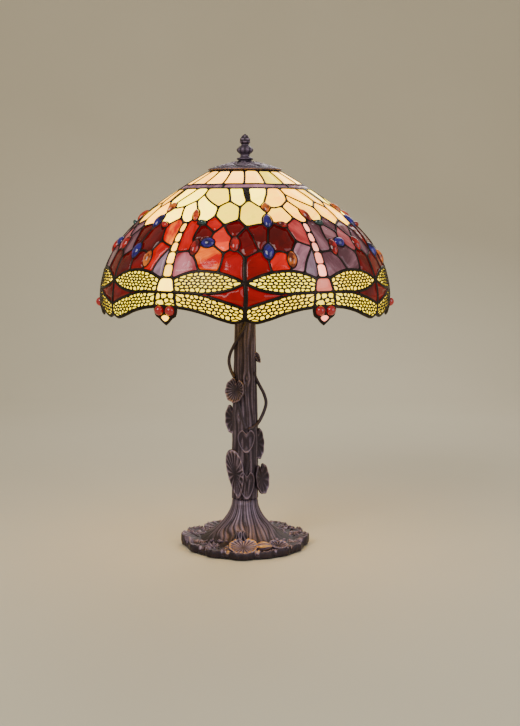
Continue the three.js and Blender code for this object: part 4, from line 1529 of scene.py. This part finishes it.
LEAVES = [
    leaf(pad_outline, beside_trunk(-40, 3.6, 220), (15, 17.5), -32, -6, 12, cup=3.4, veins=20, depth=1.0, rim=1.8),
    leaf(pad_outline, beside_trunk(-88, -0.5, 178), (13, 21), -40, cup=2.5, veins=12, depth=0.35, rim=0.9),
    leaf(heart_outline, beside_trunk(6, 1.0, 150), (14, 17.5), 6, hug=0.026, veins=2, depth=0.4, rim=1.6, thick=3),
    leaf(pad_outline, beside_trunk(84, 0.2, 144), (10.5, 23), 42, spin=-5, cup=2.0, veins=10, depth=0.3, rim=0.9),
    leaf(blade_outline, beside_trunk(-47, 1.6, 102), (18.5, 35), -36, 0, -12, hug=0.012, veins=18, depth=1.4),
    leaf(heart_outline, beside_trunk(8, 1.0, 88), (13, 21), 8, hug=0.026, veins=2, depth=0.4, rim=1.5, thick=3),
    leaf(pad_outline, beside_trunk(84, 6, 94), (13, 23), 46, 0, -10, cup=2.5, veins=10, depth=0.3, rim=0.8),
    leaf(blade_outline, beside_trunk(82, 2.8, 264), (5, 9), 40, 0, -32),
    leaf(pad_outline, beside_trunk(172, 2.5, 236), (13, 16), 172, -5, cup=2.5, veins=18),
    leaf(heart_outline, beside_trunk(-160, 1.0, 176), (12, 19), -160, hug=0.026, veins=2, depth=0.6),
    leaf(blade_outline, beside_trunk(146, 2.0, 118), (14, 30), 140, 0, 8, hug=0.014, veins=22),
    leaf(heart_outline, beside_trunk(-135, 1.0, 92), (12, 20), -135, hug=0.026, veins=2, depth=0.6),
]


# stems, by degrees from the front, millimetres off the trunk's side, and height
STEM_RADIUS = 2.3
STEMS = [
    [(22, -0.6, 331), (8, 0.6, 316), (-10, 1.0, 303), (-36, 1.6, 292), (-62, 3.2, 281), (-80, 6.8, 268),
     (-84, 7.6, 257), (-76, 5.0, 246), (-52, 3.4, 237)],
    [(52, 0.4, 244), (70, 1.2, 235), (82, 5.0, 225), (88, 10.5, 213), (90, 13.2, 200), (88, 9.0, 186),
     (76, 2.8, 174), (44, 1.6, 169), (14, 2.2, 166)],
    [(-34, 2.0, 205), (-20, 1.0, 190), (-6, 0.9, 176), (4, 2.0, 167)],
    [(6, 1.6, 134), (12, 1.0, 122), (8, 1.8, 108)],
    [(172, 2, 250), (150, 1, 270), (130, 0.6, 300), (110, -0.6, 331)],
    [(-150, -0.6, 331), (-165, 0.6, 270), (-150, 0.6, 220), (-160, 1.6, 194)],
    [(-160, 1.6, 160), (-140, 0.8, 138), (-135, 1.6, 112)],
    [(172, 1.6, 220), (165, 0.6, 180), (146, 1.4, 150)],
]


def smooth_route(points, spacing=2.5):
    points = np.array(points, float)
    steps = np.concatenate([[0], np.cumsum(np.linalg.norm(np.diff(points, axis=0), axis=1) ** 0.5)])
    slopes = np.gradient(points, steps, axis=0)
    route = []
    for k in range(len(points) - 1):
        span = steps[k + 1] - steps[k]
        count = max(3, int(np.linalg.norm(points[k + 1] - points[k]) / spacing))
        t = np.arange(count)[:, None] / count
        route.append(eased(points[k], points[k + 1], span * slopes[k], span * slopes[k + 1], t))
    return np.concatenate(route + [points[-1:]])


stem_points = []
stem_edges = []
for stem in STEMS:
    route = smooth_route([beside_trunk(*place) for place in stem])
    stem_edges += [(len(stem_points) + k, len(stem_points) + k + 1) for k in range(len(route) - 1)]
    stem_points += list(route * MM)
stems = wire_recipe("stem_recipe", STEM_RADIUS * MM, BRONZE).made("trunk_stems", stem_points, stem_edges)
store(stems, "worn", "FLOAT", [0.22] * len(stems.data.vertices))

for casting in (trunk(), cast_leaves("trunk_leaves", LEAVES), stems):
    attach(casting, "root")
    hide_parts("trunk")


# ---------------------------------------------------------------------------------------------
# The cap over the shade's crown: a shallow spun bronze dome with cast scrollwork on it and a hub
# in the middle. The finial screws down on it and holds the shade to the riser.

cap_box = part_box("shade_cap")
CAP_RADIUS = cap_box[1].x / MM
CAP_BOTTOM = cap_box[0].z / MM
CAP_TOP = cap_box[1].z / MM
CAP_BORE = 5.4
CAP_SHAPE = np.array([
    (9.4, CAP_TOP - 1.2), (13.5, CAP_TOP - 2.2), (17, CAP_TOP - 3.8), (21, CAP_TOP - 5.6),
    (26, CAP_BOTTOM + 7.2), (32, CAP_BOTTOM + 5.6), (38, CAP_BOTTOM + 4.1), (44, CAP_BOTTOM + 2.7),
    (CAP_RADIUS - 2, CAP_BOTTOM + 1.7),
])
CAP_SCROLLS = 8
CAP_ANGLES = 192
UNRUBBED = 0.05


def shade_cap():
    casting = Turning(CAP_ANGLES)
    angle = casting.angle
    casting.add(CAP_BORE, CAP_TOP, UNRUBBED)
    casting.add(CAP_SHAPE[0, 0] - 0.6, CAP_TOP, 0.3)
    casting.add(CAP_SHAPE[0, 0], CAP_TOP - 0.6, 0.3)
    for radius in np.linspace(CAP_SHAPE[0, 0], CAP_RADIUS - 2.4, 58):
        out = (radius - 13) / (CAP_RADIUS - 17)
        band = np.clip(out * 8, 0, 1) * np.clip((1 - out) * 8, 0, 1)
        curl = 2.3 * np.sin(out * 6.5 + np.sin(angle * CAP_SCROLLS) * 0.9)
        scrolls = np.abs(np.sin(angle * CAP_SCROLLS / 2 + curl)) ** 1.4
        veins = 0.25 * np.abs(np.sin(angle * CAP_SCROLLS * 2 - curl * 2))
        raised = (scrolls + veins) * band
        on_bead = math.exp(-((radius - CAP_RADIUS + 4.6) / 1.2) ** 2)
        beading = (0.4 + 0.6 * np.abs(np.sin(angle * 36))) * on_bead
        height = np.interp(radius, *CAP_SHAPE.T)
        casting.add(radius, height + raised * 1.9 + beading, 0.04 + 0.55 * raised + 0.35 * beading)
    for turn in np.linspace(0, math.pi, 7):
        casting.add(CAP_RADIUS - 1.5 + 1.5 * math.sin(turn), CAP_BOTTOM + 1.4 + 1.3 * math.cos(turn), 0.45)
    for radius, height in CAP_SHAPE[:0:-1]:
        casting.add(radius - 1.5, height - 1.6, UNRUBBED)
    casting.add(CAP_BORE, CAP_TOP - 6, UNRUBBED)
    return casting.cast("shade_cap_casting")


cap = shade_cap()
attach(cap, "shade")
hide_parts("shade_cap")

finial_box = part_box("finial")
FINIAL_BOTTOM = finial_box[0].z / MM
THREAD_RADIUS = 3.2
THREAD_DEPTH = 12
FINIAL_SHAPE = np.array([
    (7.6, 0), (10.6, 0.3), (11.4, 1.5), (10.6, 2.8), (8.0, 3.5), (6.7, 4.6), (6.2, 5.8), (6.3, 7.4),
    (7.6, 8.6), (9.6, 10.2), (10.9, 12.2), (11.1, 14.0), (10.0, 16.0), (7.6, 18.0), (5.4, 19.6), (5.0, 20.4),
    (5.6, 21.4), (6.8, 23.2), (7.1, 25.2), (6.7, 27.6), (5.4, 30.2), (3.4, 32.8), (1.6, 34.4), (0.15, 35.0),
])
FINIAL_GADROONS = 10
FINIAL_ANGLES = 60
BUD_SCALE = 4.0


def finial():
    casting = Turning(FINIAL_ANGLES)
    angle = casting.angle
    inside_hole = [(0.15, THREAD_DEPTH), (THREAD_RADIUS, THREAD_DEPTH), (THREAD_RADIUS, 0)]
    steps = np.linspace(0, len(FINIAL_SHAPE) - 1, 92)
    outside = zip(*(np.interp(steps, range(len(FINIAL_SHAPE)), column) for column in FINIAL_SHAPE.T))
    for radius, height in (*inside_hole, *outside):
        relief = 0 * angle
        if radius > THREAD_RADIUS and 8 < height < 19:
            relief = 0.8 * (ridges(angle, FINIAL_GADROONS, 0) - 0.6) * math.sin(math.pi * (height - 8) / 11)
        elif height > 21:
            row, up = divmod((height - 21) / BUD_SCALE, 1)
            scale = np.abs(np.cos(angle * 2.5 + row * math.pi / 2)) ** 0.6
            relief = (1.5 * scale * up ** 0.7 - 0.7) * min(1, radius / 4)
        rubbed = np.clip(0.36 + relief * 0.5, 0, 0.75)
        casting.add(np.maximum(radius + relief, 0.1), FINIAL_BOTTOM + height, rubbed)
    return casting.cast("finial_casting", solid=True)


knob = finial()
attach(knob, "finial")
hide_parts("finial")


# ---------------------------------------------------------------------------------------------
# The fittings, as modelled in the frame: the threaded pipe with its nuts and cluster, the spider
# that carries the shade, two lampholders with their bulbs, the cord's bushing and the felt.

def brushed_metal(name, dark, light, roughness, worn_colour):
    metal = Finish(name)
    place = metal.place()
    tarnish = metal.noise(place, 60.0, 4.0, 0.6)
    scuffs = metal.noise(metal.scaled(place, (1, 1, 8)), 220.0, 2.0, 0.5)
    spots = ((metal.noise(place, 140.0, 2.0) - 0.58) * 6).clamped()
    colour = metal.mix(tarnish, dark, light)
    metal.set(
        Base_Color=metal.mix(spots * 0.5, colour, worn_colour),
        Metallic=0.9,
        Roughness=scuffs * 0.25 + roughness,
        Normal=metal.bump(scuffs, 0.2, 0.0004),
    )
    return metal.material


def threaded_finish(name, dark, light, pitch, axis):
    """Rolled thread: fine grooves across the given direction."""
    metal = Finish(name)
    place = metal.place()
    dot = {"operation": "DOT_PRODUCT"}
    along = metal.node("ShaderNodeVectorMath", dot, {0: place, 1: axis}, output="Value")
    wave = (along * (2 * math.pi / pitch)).sine()
    tarnish = metal.noise(place, 90.0, 3.0)
    metal.set(
        Base_Color=metal.mix((wave * 0.35 + tarnish * 0.6).clamped(), dark, light),
        Metallic=0.9,
        Roughness=0.32 + tarnish * 0.15,
        Normal=metal.bump(wave, 0.8, pitch * 0.35),
    )
    return metal.material


def felt_finish():
    felt = Finish("black_felt")
    place = felt.place()
    fibres = felt.noise(felt.scaled(place, (1, 1, 3)), 900.0, 3.0, 0.7, 1.5)
    lint = ((felt.noise(place, 260.0, 2.0) - 0.62) * 8).clamped()
    cloth = felt.mix(fibres, (0.006, 0.006, 0.007), (0.030, 0.029, 0.030))
    felt.set(
        Base_Color=felt.mix(lint * 0.3, cloth, (0.10, 0.09, 0.08)), Roughness=0.95, Sheen_Weight=0.3,
        Normal=felt.bump(fibres, 0.6, 0.0006),
    )
    return felt.material


def rubber_finish():
    rubber = Finish("black_rubber")
    place = rubber.place()
    bloom = rubber.noise(place, 120.0, 3.0)
    rubber.set(
        Base_Color=rubber.mix(bloom, (0.008, 0.008, 0.008), (0.025, 0.024, 0.023)),
        Roughness=0.5 + bloom * 0.25,
        Normal=rubber.bump(rubber.noise(place, 700.0, 2.0), 0.2, 0.0003),
    )
    return rubber.material


def porcelain_finish():
    glaze = Finish("glazed_porcelain")
    place = glaze.place()
    cloud = glaze.noise(place, 50.0, 3.0)
    specks = ((glaze.noise(place, 500.0, 1.0) - 0.68) * 12).clamped()
    body = glaze.mix(cloud, (0.70, 0.66, 0.58), (0.80, 0.77, 0.70))
    glaze.set(
        Base_Color=glaze.mix(specks * 0.6, body, (0.30, 0.24, 0.18)),
        Roughness=0.12 + cloud * 0.1,
        Coat_Weight=0.4,
        Normal=glaze.bump(cloud, 0.1, 0.0004),
    )
    return glaze.material


def pearl_finish():
    pearl = Finish("lit_pearl_glass")
    place = pearl.place()
    cloud = pearl.noise(place, 35.0, 3.0, 0.5)
    frost = pearl.noise(place, 500.0, 2.0)
    pearl.set(
        Base_Color=pearl.mix(cloud, (0.85, 0.78, 0.64), (0.92, 0.88, 0.78)),
        Roughness=0.3 + frost * 0.2,
        Emission_Color=pearl.mix(cloud, (1.0, 0.62, 0.28), (1.0, 0.74, 0.42)),
        Emission_Strength=5.0,
        Normal=pearl.bump(frost, 0.1, 0.0003),
    )
    return pearl.material


BRASS = brushed_metal("dull_brass", (0.30, 0.18, 0.055), (0.50, 0.33, 0.12), 0.24, (0.14, 0.08, 0.035))
ZINC_THREAD = threaded_finish("zinc_thread", (0.16, 0.16, 0.16), (0.58, 0.58, 0.56), 0.001, (0, 0, 1))
ZINC = brushed_metal("zinc_plate", (0.42, 0.42, 0.42), (0.60, 0.60, 0.58), 0.28, (0.25, 0.24, 0.22))
PORCELAIN = porcelain_finish()
PEARL = pearl_finish()
FITTINGS = {
    "base_felt": felt_finish(), "cord_bushing": rubber_finish(), "base_washer": ZINC, "lamp_pipe": ZINC_THREAD,
    "riser_rod": ZINC_THREAD, "base_nut": BRASS, "column_nut": BRASS, "spider_seat_nut": BRASS,
    "spider_lock_nut": BRASS, "shade_spider": BRASS, "crown_ring": BRASS, "column_collar": BRONZE,
    "cluster_body": BRONZE, "cluster_cap": BRONZE,
}
BULB_LIFT = math.radians(30)
for side, lean in ((1, -1), (2, 1)):
    screwed = (lean * math.cos(BULB_LIFT), 0, 0.5)
    FITTINGS[f"lampholder_shell_{side}"] = BRASS
    FITTINGS[f"lampholder_insert_{side}"] = PORCELAIN
    FITTINGS[f"bulb_cap_{side}"] = threaded_finish(
        f"bulb_thread_{side}", (0.30, 0.30, 0.30), (0.78, 0.78, 0.77), 0.0036, screwed,
    )
    FITTINGS[f"bulb_glass_{side}"] = PEARL
for node, finish in FITTINGS.items():
    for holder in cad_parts[node].material_slots:
        holder.material = finish
